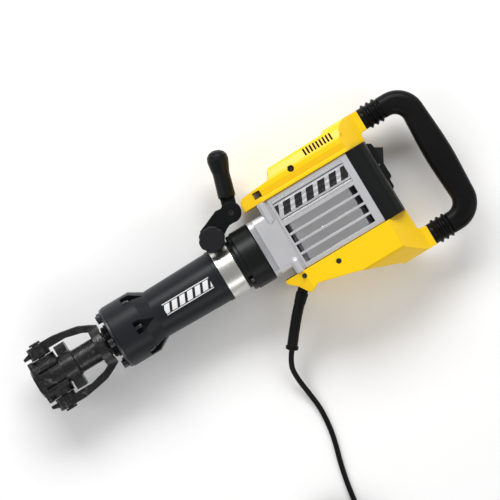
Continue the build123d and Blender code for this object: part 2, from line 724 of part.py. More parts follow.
def neck_collar():
    """Black plastic shroud over the spigot, in front of the gear case."""
    seat = BAND_R - BAND_THICK - PLAY - 4
    outline = [(NECK_X, seat), (NECK_X, 48), (NECK_X + 2, 49.5), (NECK_X + 7.5, 49.5),
               (NECK_X + 8.5, NECK_R), (CASE_X - 2, NECK_R), (CASE_X - PLAY, NECK_R - 2), (CASE_X - PLAY, seat)]
    body = turned(outline)
    for side in (-1, 1):
        z0, z1 = sorted((side * 30, side * 60))
        body -= box(NECK_X - 1, NECK_X + 8, -42, -25, z0, z1)
        body -= box(NECK_X - 1, NECK_X + 8, 31, 39, z0, z1)
    return body


def neck_screws():
    """Cap screws in the notches of the shroud."""
    screws = []
    for z in (-35.0, 35.0):
        head = rod_x(NECK_X + 2, NECK_X + 7.7, 3.6, -33.5, z)
        screws.append(head - hex_x(NECK_X + 1, NECK_X + 4, 3.4, -33.5, z))
    return screws


# ---------------------------------------------------------------- covers
def mirrored(half):
    """Closed outline from its half with second coordinate above zero."""
    return half + [(a, -b) for a, b in reversed(half)]


def cover_solid(side, plan, section, inset):
    """Solid common to the side outline, the plan and the cross-section, drawn in by the inset."""
    reach = 200
    side_face = polygon(side)
    plan_face = polygon(mirrored(plan))
    section_face = polygon(mirrored(section))
    if inset > 0:
        side_face = offset(side_face, amount=-inset, kind=Kind.INTERSECTION)
        plan_face = offset(plan_face, amount=-inset, kind=Kind.INTERSECTION)
        section_face = offset(section_face, amount=-inset, kind=Kind.INTERSECTION)
    body = along_z(side_face, -reach, reach)
    body = body & along_y(plan_face, -reach, reach)
    return body & along_x(section_face, -reach, 2 * reach)


TOP_SIDE = [(70, HOUSING_TOP), (70, 79), (72.5, 85), (77, 88.8), (130, 93), (136, 107), (139, 109.5),
            (243, 112), (247, 117), (COVER_END_X, 117), (COVER_END_X, 82), (303, 82), (299, 79.5),
            (298, 76), (298, HOUSING_TOP)]
TOP_PLAN = [(70, 42), (73, 46), (104, HALF_WIDTH), (262, HALF_WIDTH), (294, 30), (300, 24),
            (COVER_END_X, 21)]
TOP_SECTION = [(HOUSING_TOP, HALF_WIDTH), (71.5, HALF_WIDTH), (73.5, HALF_WIDTH - 4), (84, HALF_WIDTH),
               (92, HALF_WIDTH), (95, HALF_WIDTH - 4), (106, HALF_WIDTH - 8), (113, HALF_WIDTH - 16),
               (117, HALF_WIDTH - 27)]
FOOT_SIDE = [(69.5, HOUSING_FOOT), (69.5, -68.5), (82, -79), (83.5, -80.5), (94.5, -97.5), (99, -99),
             (113, -91), (178, -108), (245, -133), (250, -137.5), (313, -137.5), (313, -103), (303, -102),
             (298, -99), (297, HOUSING_FOOT)]
FOOT_PLAN = [(69.5, 42), (73, 46), (104, HALF_WIDTH), (262, HALF_WIDTH), (296, 30), (302, 25), (313, 22)]
FOOT_SECTION = [(-137.5, 30), (-131, 40), (-114, HALF_WIDTH - 3), (-110, HALF_WIDTH),
                (HOUSING_FOOT, HALF_WIDTH)]


def top_cover():
    """Yellow shell over the upper side, with air vents and the socket of the upper handle leg."""
    body = cover_solid(TOP_SIDE, TOP_PLAN, TOP_SECTION, 0)
    hollow = cover_solid(TOP_SIDE, TOP_PLAN, TOP_SECTION, WALL)
    room = hollow & box(0, BUSH_X - 2, 0, 300, -100, 100)
    body -= room + Pos(0, -WALL - 1, 0) * (room & box(0, 400, 0, HOUSING_TOP + 20, -100, 100))
    body -= leg_bore(LEG_TOP_Y)
    for i in range(9):
        x = 203 + i * 6.1
        body -= box(x - 1.5, x + 1.5, 95.5, 107.5, -100, 100)
    body -= box(95, 108, 75.5, 86.5, HALF_WIDTH - 9, 100) + box(95, 108, 75.5, 86.5, -100, 9 - HALF_WIDTH)
    for x, y, r in cover_screw_places(1):
        for side in (-1, 1):
            z0, z1 = sorted((side * (HALF_WIDTH - 9), side * 100))
            body -= rod_z(z0, z1, r, x, y)
    return body


def cover_screw_places(side):
    """(x, y, recess radius) of the cover screws on the upper (1) or lower (-1) cover."""
    if side > 0:
        return [(170, 90, 5.5), (271, 93, 5.0)]
    return [(100, -70, 4.5), (160, -78, 4.5), (287, -108, 4.5)]


def leg_bore(y):
    """Stepped bore for the guide bush and the rod washer."""
    return rod_x(BUSH_X - 8, 320, 12.0, y)


def bottom_cover():
    """Yellow shell over the lower side, with the cord exit and the socket of the lower handle leg."""
    body = cover_solid(FOOT_SIDE, FOOT_PLAN, FOOT_SECTION, 0)
    hollow = cover_solid(FOOT_SIDE, FOOT_PLAN, FOOT_SECTION, WALL)
    room = hollow & box(0, BUSH_X - 2, -300, 0, -100, 100)
    body -= room + Pos(0, WALL + 1, 0) * (room & box(0, 400, HOUSING_FOOT - 20, 0, -100, 100))
    body -= leg_bore(LEG_FOOT_Y)
    body -= sleeve_root()
    for side in (-1, 1):
        z0, z1 = sorted((side * (HALF_WIDTH - 14), side * 100))
        body -= box(75, 84, -66.5, -61, z0, z1)
    for x, y, r in cover_screw_places(-1):
        for side in (-1, 1):
            z0, z1 = sorted((side * (HALF_WIDTH - 2), side * 100))
            body -= rod_z(z0, z1, r, x, y)
    return body


def cover_screws():
    """Screw heads at the foot of the cover recesses, on both sides."""
    screws = []
    for upper, depth, margin in ((1, 9.0, 1.2), (-1, 2.0, 0.6)):
        z = HALF_WIDTH - depth
        for x, y, r in cover_screw_places(upper):
            if x > 262:
                continue
            head = rod_z(z, z + 1.5, r - margin, x, y)
            head -= box(x - 2.5, x + 2.5, y - 0.5, y + 0.5, z + 0.8, z + 2)
            screws += both_sides(head)
    return screws


# ---------------------------------------------------------------- rear end cap and switch
def cap_outline(inset):
    half = HOUSING_HALF - inset
    end = CAP_END_X - inset
    points = [(HOUSING_END_X, half), (HOUSING_END_X + 12, half)]
    for i in range(1, 9):
        a = math.radians(90 - i * 90 / 8)
        points.append((HOUSING_END_X + 12 + (end - HOUSING_END_X - 12) * math.cos(a),
                       half - 34 + 34 * math.sin(a)))
    return mirrored(points)


def rear_end_cap():
    """Black plastic cap behind the motor housing."""
    body = along_y(polygon(cap_outline(0)), HOUSING_FOOT, HOUSING_TOP)
    body -= along_y(polygon(cap_outline(WALL)), HOUSING_FOOT + WALL, HOUSING_TOP - WALL)
    body -= box(280, 300, -6, 53, -15, 15)
    for y in (37, -18):
        body -= rod_x(CAP_END_X - 4, CAP_END_X + 5, 4.2, y, 22)
        body -= rod_x(CAP_END_X - 4, CAP_END_X + 5, 4.2, y, -22)
    return body


def end_cap_screws():
    screws = []
    for y in (37, -18):
        for z in (-22, 22):
            head = rod_x(CAP_END_X - 7, CAP_END_X - 1.5, 3.4, y, z)
            screws.append(head - box(CAP_END_X - 2.2, CAP_END_X, y - 2.6, y + 2.6, z - 0.5, z + 0.5))
    return screws


def switch_bezel():
    """Guard round the rocker, seated on the cap."""
    outline = [(CAP_END_X, 61.5), (299, 61.5), (305, 58), (306, 51.8), (306, -4.5), (301.5, -8),
               (301.5, -20), (CAP_END_X, -25)]
    body = along_z(polygon(outline), -19, 19)
    body -= box(CAP_END_X - 1, 320, -6, 53, -15, 15)
    return body - rod_z(-20, 20, ROCKER_PIN_R, ROCKER_X, ROCKER_Y)


def switch_rocker():
    """On-off rocker, upper half standing out."""
    outline = [(304, 50.5), (307, 50), (319, 43.5), (306.5, 20), (307, -3.5), (303, -4), (300, 14),
               (295.5, 22), (299, 30)]
    body = along_z(polygon(outline), -ROCKER_HALF, ROCKER_HALF)
    return body - rod_z(-20, 20, ROCKER_PIN_R + RUN, ROCKER_X, ROCKER_Y)


def rocker_pin():
    return rod_z(-18, 18, ROCKER_PIN_R, ROCKER_X, ROCKER_Y)


def switch_body():
    return box(262, 284, 2, 44, -14, 14)


def control_module():
    return box(262, 282, -50, -14, -25, 25)


# ---------------------------------------------------------------- side handle
def clamp_band():
    """Steel band with two lugs on top for the clamp bolt."""
    r_in = BAND_R - BAND_THICK
    end = BAND_X + BAND_WIDTH
    body = turned([(BAND_X, r_in), (BAND_X, BAND_R), (end, BAND_R), (end, r_in)])
    body -= box(BAND_X - 1, end + 1, 30, 60, -3, 3)
    for side in (-1, 1):
        z0, z1 = sorted((side * 3, side * 7.5))
        lug = box(BAND_X, end, 44, 68, z0, z1)
        body += lug - rod_x(BAND_X - 1, end + 1, BAND_R - 0.5)
    return body - rod_z(-30, 30, 5, KNOB_X, KNOB_Y)


def clamp_bolt():
    """Bolt through the lugs and the bracket, with its square head on the far side."""
    body = rod_z(-15, KNOB_Z + 10, 5, KNOB_X, KNOB_Y)
    return body + box(KNOB_X - 8, KNOB_X + 8, KNOB_Y - 8, KNOB_Y + 8, -22, -15)


def clamp_knob():
    """Lobed plastic knob on the clamp bolt."""
    face = Circle(KNOB_R - 1.2)
    for i in range(6):
        a = math.radians(30 + i * 60)
        face -= Pos((KNOB_R + 9) * math.cos(a), (KNOB_R + 9) * math.sin(a)) * Circle(11.5)
    body = Pos(KNOB_X, KNOB_Y, 0) * along_z(face, KNOB_Z, KNOB_Z + KNOB_THICK)
    body = chamfer(body.faces().sort_by(Axis.Z)[-1].edges(), 2)
    body += rod_z(15.5, KNOB_Z, 10, KNOB_X, KNOB_Y)
    return body - rod_z(0, KNOB_Z + 12, 5 + RUN, KNOB_X, KNOB_Y)


def handle_bracket():
    """Forked bracket from the band lugs to the grip knuckle."""
    side = [(-16, 47), (-16, 68), (-8, 79), (5, 84), (30, 94.5), (40, 93.5), (KNUCKLE_X, KNUCKLE_Y + 5),
            (KNUCKLE_X, KNUCKLE_Y - EAR_R + 1), (38, 63), (30, 59), (24, 54.5), (17, 53), (17, 47)]
    body = along_z(polygon(side), -EAR_OUT, EAR_OUT) + rod_z(-EAR_OUT, EAR_OUT, EAR_R, KNUCKLE_X, KNUCKLE_Y)
    # room for the tongue of the grip
    body -= box(22, 80, 40, 120, -EAR_IN, EAR_IN)
    # room for the band and its lugs
    body -= box(BAND_X - 10, 17.5, 40, 69, -7.5, 7.5)
    body -= rod_x(-30, 60, BAND_R + 1.0)
    body -= rod_z(-30, 30, 5, KNOB_X, KNOB_Y)
    return body - rod_z(-30, 30, 5, KNUCKLE_X, KNUCKLE_Y)


def knuckle_bolt():
    """Socket-head bolt on which the grip tilts."""
    body = rod_z(-EAR_OUT, EAR_OUT - 1, 5, KNUCKLE_X, KNUCKLE_Y)
    body -= hex_socket(EAR_OUT - 5, EAR_OUT, 5)
    return body + rod_z(-EAR_OUT - 3, -EAR_OUT, 8, KNUCKLE_X, KNUCKLE_Y)


def hex_socket(z0, z1, across_flats):
    face = Pos(KNUCKLE_X, KNUCKLE_Y) * RegularPolygon(across_flats / 2, 6, major_radius=False)
    return along_z(face, z0, z1)


def side_grip():
    """Grip of the auxiliary handle: tongue in the fork, round body and bulb end."""
    length = GRIP_LENGTH
    r = GRIP_R
    profile = [(0, 24), (r - 2, 24), (r, 27), (r - 0.5, length - 22), (r + 1.5, length - 12),
               (GRIP_END_R, length), (GRIP_END_R - 1, length + 7), (GRIP_END_R - 5, length + 13),
               (GRIP_END_R - 11, length + 16.3), (0, length + 17)]
    body = revolve(polygon(profile), axis=Axis.Y)
    tongue = along_z(polygon([(-12, 0), (-12, 26), (12, 26), (12, 0)]), -EAR_IN + SLIP, EAR_IN - SLIP)
    tongue += rod_z(-EAR_IN + SLIP, EAR_IN - SLIP, 15)
    body += tongue
    body -= rod_z(-20, 20, 5 + RUN)
    return Pos(KNUCKLE_X, KNUCKLE_Y, 0) * (Rot(0, 0, -GRIP_LEAN) * body)


# ---------------------------------------------------------------- rear handle
def d_face(inset):
    """Outline of the D handle in the XY plane, drawn in by the inset."""
    top = LEG_TOP_Y + LEG_R - inset
    foot = LEG_FOOT_Y - LEG_R + inset
    inner_top = LEG_TOP_Y - LEG_R + inset
    inner_foot = LEG_FOOT_Y + LEG_R - inset
    mid = (LEG_TOP_Y + LEG_FOOT_Y) / 2
    back = HANDLE_X - inset
    front = HANDLE_X - 48 + inset
    points = [(LEG_X, top), (back - 8, top), (back, mid), (back - 7, foot), (LEG_X, foot),
              (LEG_X, inner_foot), (front + 5, inner_foot), (front, mid), (front + 5, inner_top),
              (LEG_X, inner_top)]
    outer = FilletPolyline(*points[:5], radius=[48 - inset, 500, 50 - inset])
    inner = FilletPolyline(*points[5:], radius=[17 + inset, 500, 17 + inset])
    return make_face(outer + Line(points[4], points[5]) + inner + Line(points[9], points[0]))


def handle_core():
    """Cast aluminium frame inside the rear handle."""
    body = along_z(d_face(9), -9, 9)
    for y in (LEG_TOP_Y, LEG_FOOT_Y):
        body += rod_x(LEG_X, LEG_X + 12, 12, y)
        body -= rod_x(LEG_X - 1, LEG_X + 18, ROD_R, y)
    return body


def rear_handle_grip():
    """Rubber-covered D grip round the frame."""
    body = along_z(d_face(0), -LEG_R, LEG_R)
    ends = body.faces().filter_by(Axis.Z).edges()
    long_edges = [e for e in ends if not (abs(e.center().X - LEG_X) < 0.01)]
    body = fillet(long_edges, LEG_R - 4)
    return body - handle_core() - rod_x(LEG_X - 1, LEG_X + 18, ROD_R, LEG_TOP_Y) \
        - rod_x(LEG_X - 1, LEG_X + 18, ROD_R, LEG_FOOT_Y)


def guide_rods():
    """Rods that carry the rear handle, with a stop washer on each."""
    rods = []
    for y in (LEG_TOP_Y, LEG_FOOT_Y):
        rod = rod_x(BUSH_X - 6, LEG_X + 18, ROD_R, y)
        rods.append(rod + rod_x(BUSH_X - 5, BUSH_X - PLAY, 10, y))
    return rods


def guide_bushes():
    bushes = []
    for y in (LEG_TOP_Y, LEG_FOOT_Y):
        ring = rod_x(BUSH_X, BUSH_X + BUSH_LENGTH, 12, y)
        bushes.append(ring - rod_x(BUSH_X - 1, BUSH_X + BUSH_LENGTH + 1, ROD_R + RUN, y))
    return bushes


def isolator_spring(y):
    """Coil spring round a guide rod, between the bush and the handle leg."""
    wire = 1.6
    x0 = BUSH_X + BUSH_LENGTH + wire + 0.2
    length = LEG_X - wire - 0.2 - x0
    path = Helix(pitch=length / 5, height=length, radius=9.5)
    coil = sweep(Plane(path @ 0, z_dir=path % 0) * Circle(wire), path)
    return Pos(x0, y, 0) * (Rot(0, 90, 0) * coil)


def bellows(y, end):
    """Rubber bellows over a handle leg, with a smooth cuff and three ribs."""
    low, high, r_in = 17.6, 21.2, 14.0
    x = end
    profile = [(x, r_in), (x, 17.9), (x + 7.5, 17.9)]
    first = x + 12
    for i in range(3):
        peak = first + i * 10
        profile += [(peak - 4.5, low), (peak - 1.8, high), (peak + 1.8, high), (peak + 4.5, low)]
    profile += [(LEG_X - PLAY, low), (LEG_X - PLAY, r_in)]
    return Pos(0, y, 0) * turned(profile)


# ---------------------------------------------------------------- cord
def tangent_radii(points, label):
    """Arc radius at each corner of a route, as large as its two runs allow."""
    vectors = [Vector(*p) for p in points]
    radii = []
    for a, b, c in zip(vectors, vectors[1:], vectors[2:]):
        turn = math.radians((b - a).get_angle(c - b))
        radii.append(0.45 * min((b - a).length, (c - b).length) / math.tan(turn / 2))
    print(label, "radii", [round(r, 1) for r in radii])
    return radii


def tube(points, r, label):
    """Round tube along straight runs joined by tangent arcs."""
    path = FilletPolyline(*points, radius=tangent_radii(points, label))
    body = sweep(Plane(path @ 0, z_dir=path % 0) * Circle(r), path)
    print(label, "length", round(path.length, 1), "volume ratio",
          round(body.volume / (math.pi * r * r * path.length), 5))
    return body, path


def sleeve_root():
    """Round passage for the root of the cord sleeve."""
    start, then = Vector(*SLEEVE_POINTS[0]), Vector(*SLEEVE_POINTS[1])
    along = (then - start).normalized()
    return extrude(Plane(start - along * 6, z_dir=along) * Circle(SLEEVE_TIP_R + 0.3), 30)


def cord_sleeve():
    """Rubber bend relief: tube with a collar at its root and a flared tip."""
    body, path = tube(SLEEVE_POINTS, SLEEVE_TIP_R, "sleeve")
    start, then = Vector(*SLEEVE_POINTS[0]), Vector(*SLEEVE_POINTS[1])
    along = (then - start).normalized()
    collar = extrude(Plane(start + along * 9.5, z_dir=along) * Circle(10.3), 18, taper=3)
    body += collar
    flare = extrude(Plane(path @ 1 - (path % 1) * 3.6, z_dir=path % 1) * Circle(10.6), 3.6)
    return body + flare


def cord_clamp():
    """Clamp block that holds the cord inside the cover."""
    start, then = Vector(*SLEEVE_POINTS[0]), Vector(*SLEEVE_POINTS[1])
    along = (then - start).normalized()
    face = Plane(start - along * 3, z_dir=-along) * Rectangle(10, 16)
    return extrude(face, 5)


def cord_tube():
    return tube(CORD_POINTS, CORD_D / 2, "cord")[0]


def cord_coil():
    """Put-away length of the cord: the outer shape of the wound turns."""
    half = COIL_COLUMNS * CORD_D / 2
    x, y = COIL_CENTRE
    height = COIL_LAYERS * CORD_D
    body = rod_z(FLOOR_Z, FLOOR_Z + height, COIL_MID_R + half, x, y)
    body -= rod_z(FLOOR_Z - 1, FLOOR_Z + height + 1, COIL_MID_R - half, x, y)
    return body


def plug_place():
    """Plug lies on top of the coil, its pins pointing along -X, the way the last turn runs there."""
    x, y = COIL_CENTRE
    return x, y - COIL_MID_R + PLUG_SET_IN, FLOOR_Z + COIL_LAYERS * CORD_D + PLUG_HEIGHT / 2 + PLAY


def cord_plug():
    """Two-pole plug body with its bend relief."""
    x, y, z = plug_place()
    outline = RectangleRounded(PLUG_HEIGHT, PLUG_WIDTH, PLUG_CORNER_R)
    body = Pos(x, y, z) * (Rot(0, -90, 0) * extrude(outline, PLUG_LENGTH, taper=6))
    body += rod_x(x - 1, x + PLUG_RELIEF_LENGTH, PLUG_RELIEF_R, y, z)
    pin_root = x - PLUG_LENGTH + 1
    for side in (-1, 1):
        body += rod_x(pin_root - PLUG_PIN_LENGTH, pin_root, PLUG_PIN_R, y + side * PLUG_PIN_PITCH / 2, z)
    return body


# ---------------------------------------------------------------- all pieces
def shaft_bearings():
    """Ball bearings of the crank, idler and motor shafts."""
    return [crank_bearing()] + idler_bearings() + motor_bearings()


def housing_screws():
    """Every screw of the collar, covers, end cap and bearing bridge."""
    return neck_screws() + cover_screws() + end_cap_screws() + bridge_screws()


def all_pieces():
    """Every node of the hammer by name; a list is a group of separate solids."""
    return {
        "tool_holder": tool_holder(), "retainer_bail": retainer_bail(), "retainer_pins": retainer_pins(),
        "nose_ring": nose_ring(), "front_plate": front_plate(), "barrel_housing": barrel_housing(),
        "flange_bolts": flange_bolts(), "beat_piece_bush": beat_piece_bush(), "beat_piece": beat_piece(),
        "impact_damper": impact_damper(), "cylinder_sleeve": cylinder_sleeve(), "striker": striker(),
        "striker_seal": striker_seal(), "piston": piston(), "piston_seal": piston_seal(),
        "wrist_pin": wrist_pin(), "connecting_rod": connecting_rod(), "crank_gear": crank_gear(),
        "idler_gear": idler_gear(), "shaft_bearings": shaft_bearings(), "bearing_bridge": bearing_bridge(),
        "armature": armature(), "armature_windings": armature_windings(), "commutator": commutator(),
        "field_stator": field_stator(), "field_coils": field_coils(), "cooling_fan": cooling_fan(),
        "brush_holders": brush_holders(), "carbon_brushes": carbon_brushes(), "gear_case": gear_case(),
        "motor_housing": motor_housing(), "motor_liners": motor_liners(), "name_plates": name_plates(),
        "neck_collar": neck_collar(), "housing_screws": housing_screws(), "top_cover": top_cover(),
        "bottom_cover": bottom_cover(), "rear_end_cap": rear_end_cap(), "switch_bezel": switch_bezel(),
        "switch_rocker": switch_rocker(), "rocker_pin": rocker_pin(), "switch_body": switch_body(),
        "control_module": control_module(), "clamp_band": clamp_band(), "clamp_bolt": clamp_bolt(),
        "clamp_knob": clamp_knob(), "handle_bracket": handle_bracket(), "knuckle_bolt": knuckle_bolt(),
        "side_grip": side_grip(), "handle_core": handle_core(), "rear_handle_grip": rear_handle_grip(),
        "guide_rods": guide_rods(), "guide_bushes": guide_bushes(),
        "isolator_springs": [isolator_spring(LEG_TOP_Y), isolator_spring(LEG_FOOT_Y)],
        "handle_bellows": [bellows(LEG_TOP_Y, BELLOWS_X), bellows(LEG_FOOT_Y, BELLOWS_X + 2)],
        "cord_sleeve": cord_sleeve(), "cord_clamp": cord_clamp(), "cord_tube": cord_tube(),
        "cord_coil": cord_coil(), "cord_plug": cord_plug(),
    }


CORD_NODES = ("cord_tube", "cord_coil", "cord_plug")


def row_shift(pieces):
    """Move from the tool frame to the foot of the bounding box of all pieces but the cord's."""
    low, high = [], []
    for name, solids in pieces.items():
        if name not in CORD_NODES:
            for solid in solids:
                bounds = solid.bounding_box()
                low.append(bounds.min)
                high.append(bounds.max)
    x = (min(v.X for v in low) + max(v.X for v in high)) / 2
    y = (min(v.Y for v in low) + max(v.Y for v in high)) / 2
    return Pos(-x, -y, -min(v.Z for v in low))


def main():
    """Write one STEP file for each node, in the row frame."""
    pieces = {}
    for name, shape in all_pieces().items():
        groups = shape if isinstance(shape, list) else [shape]
        pieces[name] = [solid for group in groups for solid in group.solids()]
    shift = row_shift(pieces)
    print("tool axis origin in the row frame", [round(v, 3) for v in shift.position.to_tuple()])
    print("crank", crank_x(), "idler", idler_x(), "nodes", len(pieces))
    os.makedirs("parts", exist_ok=True)
    for name, solids in pieces.items():
        moved = [shift * solid for solid in solids]
        export_step(moved[0] if len(moved) == 1 else Compound(children=moved), f"parts/{name}.step")


if __name__ == "__main__":
    main()
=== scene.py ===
"""Looks of an electric demolition hammer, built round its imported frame.

The frame holds every hard piece. This script dresses the pieces with procedural finishes, rounds their
edges in shading, and adds what bends, lies free or is too fine for the frame: bellows, springs, vent
screens, the mains lead and the band round its coil. Sizes of the classes are in millimetres.
"""

import logging
import math
from dataclasses import dataclass
from enum import Enum
from typing import Callable, Sequence

import bmesh
import bpy
from mathutils import Matrix, Vector


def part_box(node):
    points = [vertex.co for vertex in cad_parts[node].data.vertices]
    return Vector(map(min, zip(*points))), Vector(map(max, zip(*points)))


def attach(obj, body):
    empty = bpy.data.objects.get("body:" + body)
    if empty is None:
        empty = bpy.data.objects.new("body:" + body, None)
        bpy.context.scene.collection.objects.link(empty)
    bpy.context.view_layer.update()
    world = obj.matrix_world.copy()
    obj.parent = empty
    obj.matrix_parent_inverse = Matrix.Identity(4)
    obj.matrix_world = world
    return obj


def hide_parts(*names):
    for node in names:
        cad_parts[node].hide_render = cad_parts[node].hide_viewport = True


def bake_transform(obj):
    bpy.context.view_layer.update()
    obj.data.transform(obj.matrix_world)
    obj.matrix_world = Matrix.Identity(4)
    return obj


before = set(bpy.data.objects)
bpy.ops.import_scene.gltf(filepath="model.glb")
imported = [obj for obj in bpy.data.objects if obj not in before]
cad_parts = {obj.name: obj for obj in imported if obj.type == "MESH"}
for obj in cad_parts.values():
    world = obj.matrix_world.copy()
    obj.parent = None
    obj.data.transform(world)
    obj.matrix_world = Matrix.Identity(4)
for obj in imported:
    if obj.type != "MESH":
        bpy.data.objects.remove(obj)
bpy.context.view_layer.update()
LOG = logging.getLogger("hammer")
MM = 0.001
BAND_FRONT_TO_ORIGIN = 14.5


class Body(Enum):
    """Bodies of the motion model that the new pieces ride on."""

    HOUSING = "housing"
    REAR_HANDLE = "rear_handle"


# ------------------------------------------------------------------ places
class Places:
    """Points of the tool, worked out from the frame's pieces."""

    def __init__(self) -> None:
        """Finds the striking axis and the middle of the clamp band."""
        low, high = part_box("cylinder_sleeve")
        band_low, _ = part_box("clamp_band")
        front = band_low[0] + BAND_FRONT_TO_ORIGIN * MM
        self.axis = Vector((front, (low[1] + high[1]) / 2, (low[2] + high[2]) / 2))

    def at(self, x: float, y: float, z: float = 0.0) -> Vector:
        """Point in the row frame from millimetres in the tool frame.

        Args:
            x: Along the tool.
            y: Towards the side handle.
            z: Up from the striking axis.

        Returns:
            The point, in metres.
        """
        return self.axis + Vector((x, y, z)) * MM


PLACES = Places()


# ------------------------------------------------------------------ shader tools
class Sock:
    """A shader socket with arithmetic: an expression adds its Math nodes."""

    def __init__(self, tree: bpy.types.NodeTree, socket: bpy.types.NodeSocket) -> None:
        """Wraps one output socket of a tree.

        Args:
            tree: The material's node tree.
            socket: The output socket.
        """
        self.tree = tree
        self.socket = socket

    def math(self, operation: str, *others: "Sock | float", swap: bool = False) -> "Sock":
        """Adds one Math node.

        Args:
            operation: The node's operation name.
            others: The other operands.
            swap: Puts this socket second.

        Returns:
            The result's socket.
        """
        node = self.tree.nodes.new("ShaderNodeMath")
        node.operation = operation
        operands = [self, *others]
        if swap:
            operands.reverse()
        for i, value in enumerate(operands):
            if isinstance(value, Sock):
                self.tree.links.new(value.socket, node.inputs[i])
            else:
                node.inputs[i].default_value = value
        return Sock(self.tree, node.outputs[0])

    def __add__(self, other: "Sock | float") -> "Sock":
        """Sum.

        Args:
            other: The second operand.

        Returns:
            The result's socket.
        """
        return self.math("ADD", other)

    def __radd__(self, other: float) -> "Sock":
        """Reflected sum.

        Args:
            other: The second operand.

        Returns:
            The result's socket.
        """
        return self.math("ADD", other, swap=True)

    def __sub__(self, other: "Sock | float") -> "Sock":
        """Difference.

        Args:
            other: The second operand.

        Returns:
            The result's socket.
        """
        return self.math("SUBTRACT", other)

    def __rsub__(self, other: float) -> "Sock":
        """Reflected difference.

        Args:
            other: The second operand.

        Returns:
            The result's socket.
        """
        return self.math("SUBTRACT", other, swap=True)

    def __mul__(self, other: "Sock | float") -> "Sock":
        """Product.

        Args:
            other: The second operand.

        Returns:
            The result's socket.
        """
        return self.math("MULTIPLY", other)

    def __rmul__(self, other: float) -> "Sock":
        """Reflected product.

        Args:
            other: The second operand.

        Returns:
            The result's socket.
        """
        return self.math("MULTIPLY", other, swap=True)

    def clamped(self) -> "Sock":
        """The value held between 0 and 1.

        Returns:
            The result's socket.
        """
        return self.math("MAXIMUM", 0.0).math("MINIMUM", 1.0)


class Shader:
    """One material under construction, with its Principled BSDF."""

    def __init__(self, name: str) -> None:
        """Makes an empty material with a shader and an output.

        Args:
            name: The material's name.
        """
        self.material = bpy.data.materials.new(name)
        self.material.use_nodes = True
        self.tree = self.material.node_tree
        self.tree.nodes.clear()
        self.bsdf = self.tree.nodes.new("ShaderNodeBsdfPrincipled")
        output = self.tree.nodes.new("ShaderNodeOutputMaterial")
        self.tree.links.new(self.bsdf.outputs[0], output.inputs[0])
        self._place: Sock | None = None

    def add(self, kind: str, settings: dict | None = None, inputs: dict | None = None,
            out: int | str = 0) -> Sock:
        """Adds any node.

        Args:
            kind: The node's type.
            settings: Attributes set before the sockets.
            inputs: Values or links by socket name or number.
            out: The output wanted.

        Returns:
            The output's socket.
        """
        node = self.tree.nodes.new(kind)
        for key, value in (settings or {}).items():
            setattr(node, key, value)
        for key, value in (inputs or {}).items():
            if isinstance(value, Sock):
                self.tree.links.new(value.socket, node.inputs[key])
            else:
                node.inputs[key].default_value = value
        return Sock(self.tree, node.outputs[out])

    def place(self) -> Sock:
        """Object coordinates, in metres in the row frame.

        Returns:
            The coordinates' socket.
        """
        if self._place is None:
            self._place = self.add("ShaderNodeTexCoord", out="Object")
        return self._place

    def noise(self, scale: float, detail: float = 3.0, stretch: Sequence[float] = (1, 1, 1),
              rough: float = 0.5) -> Sock:
        """Noise per metre, stretched along the axes.

        Args:
            scale: Features per metre.
            detail: Octaves.
            stretch: Scale along each axis.
            rough: Share of the finer octaves.

        Returns:
            The noise's socket, 0 to 1.
        """
        mapped = self.add("ShaderNodeMapping", inputs={"Vector": self.place(), "Scale": tuple(stretch)})
        return self.add("ShaderNodeTexNoise", inputs={"Vector": mapped, "Scale": scale, "Detail": detail,
                                                      "Roughness": rough})

    def band(self, value: Sock, low: float, high: float) -> Sock:
        """Smooth step of a value from 0 at low to 1 at high.

        Args:
            value: The value.
            low: Where the step starts.
            high: Where it ends.

        Returns:
            The step's socket.
        """
        return self.add("ShaderNodeMapRange", {"interpolation_type": "SMOOTHSTEP"},
                        {"Value": value, "From Min": low, "From Max": high, "To Min": 0.0, "To Max": 1.0})

    def mix(self, factor: Sock, a: Sequence[float] | Sock, b: Sequence[float] | Sock) -> Sock:
        """Colour a turning to b as the factor goes from 0 to 1.

        Args:
            factor: Share of the second colour.
            a: First colour.
            b: Second colour.

        Returns:
            The colour's socket.
        """
        inputs = {0: factor, 6: _colour(a), 7: _colour(b)}
        return self.add("ShaderNodeMix", {"data_type": "RGBA"}, inputs, out=2)

    def split(self) -> tuple[Sock, Sock, Sock]:
        """The three object coordinates.

        Returns:
            The sockets of X, Y and Z.
        """
        node = self.tree.nodes.new("ShaderNodeSeparateXYZ")
        self.tree.links.new(self.place().socket, node.inputs[0])
        return tuple(Sock(self.tree, node.outputs[i]) for i in range(3))

    def bump(self, height: Sock, strength: float, distance: float, edge: float = 0.8) -> None:
        """Feeds a height to the shader's normal, over edges rounded by so many millimetres.

        Args:
            height: The height, about 0 to 1.
            strength: The bump's strength.
            distance: Depth in metres.
            edge: Radius of the rounding.
        """
        rounded = self.add("ShaderNodeBevel", {"samples": 4}, {"Radius": edge * MM})
        normal = self.add("ShaderNodeBump", inputs={"Height": height, "Strength": strength,
                                                    "Distance": distance, "Normal": rounded})
        self.tree.links.new(normal.socket, self.bsdf.inputs["Normal"])

    def set(self, **values: "float | Sequence[float] | Sock") -> None:
        """Sets or links the shader's inputs; underscores stand for spaces.

        Args:
            values: Numbers, colours or sockets by input name.
        """
        for key, value in values.items():
            socket = self.bsdf.inputs[key.replace("_", " ")]
            if isinstance(value, Sock):
                self.tree.links.new(value.socket, socket)
            else:
                socket.default_value = _colour(value) if socket.type == "RGBA" else value


def _colour(value: "Sequence[float] | Sock | float") -> "Sock | Sequence[float] | float":
    """Adds alpha to a plain colour and leaves a socket alone.

    Args:
        value: Three or four numbers, or a socket.

    Returns:
        The colour with alpha, or the socket.
    """
    if isinstance(value, Sock) or not hasattr(value, "__len__"):
        return value
    return tuple(value) if len(value) == 4 else (*value, 1.0)


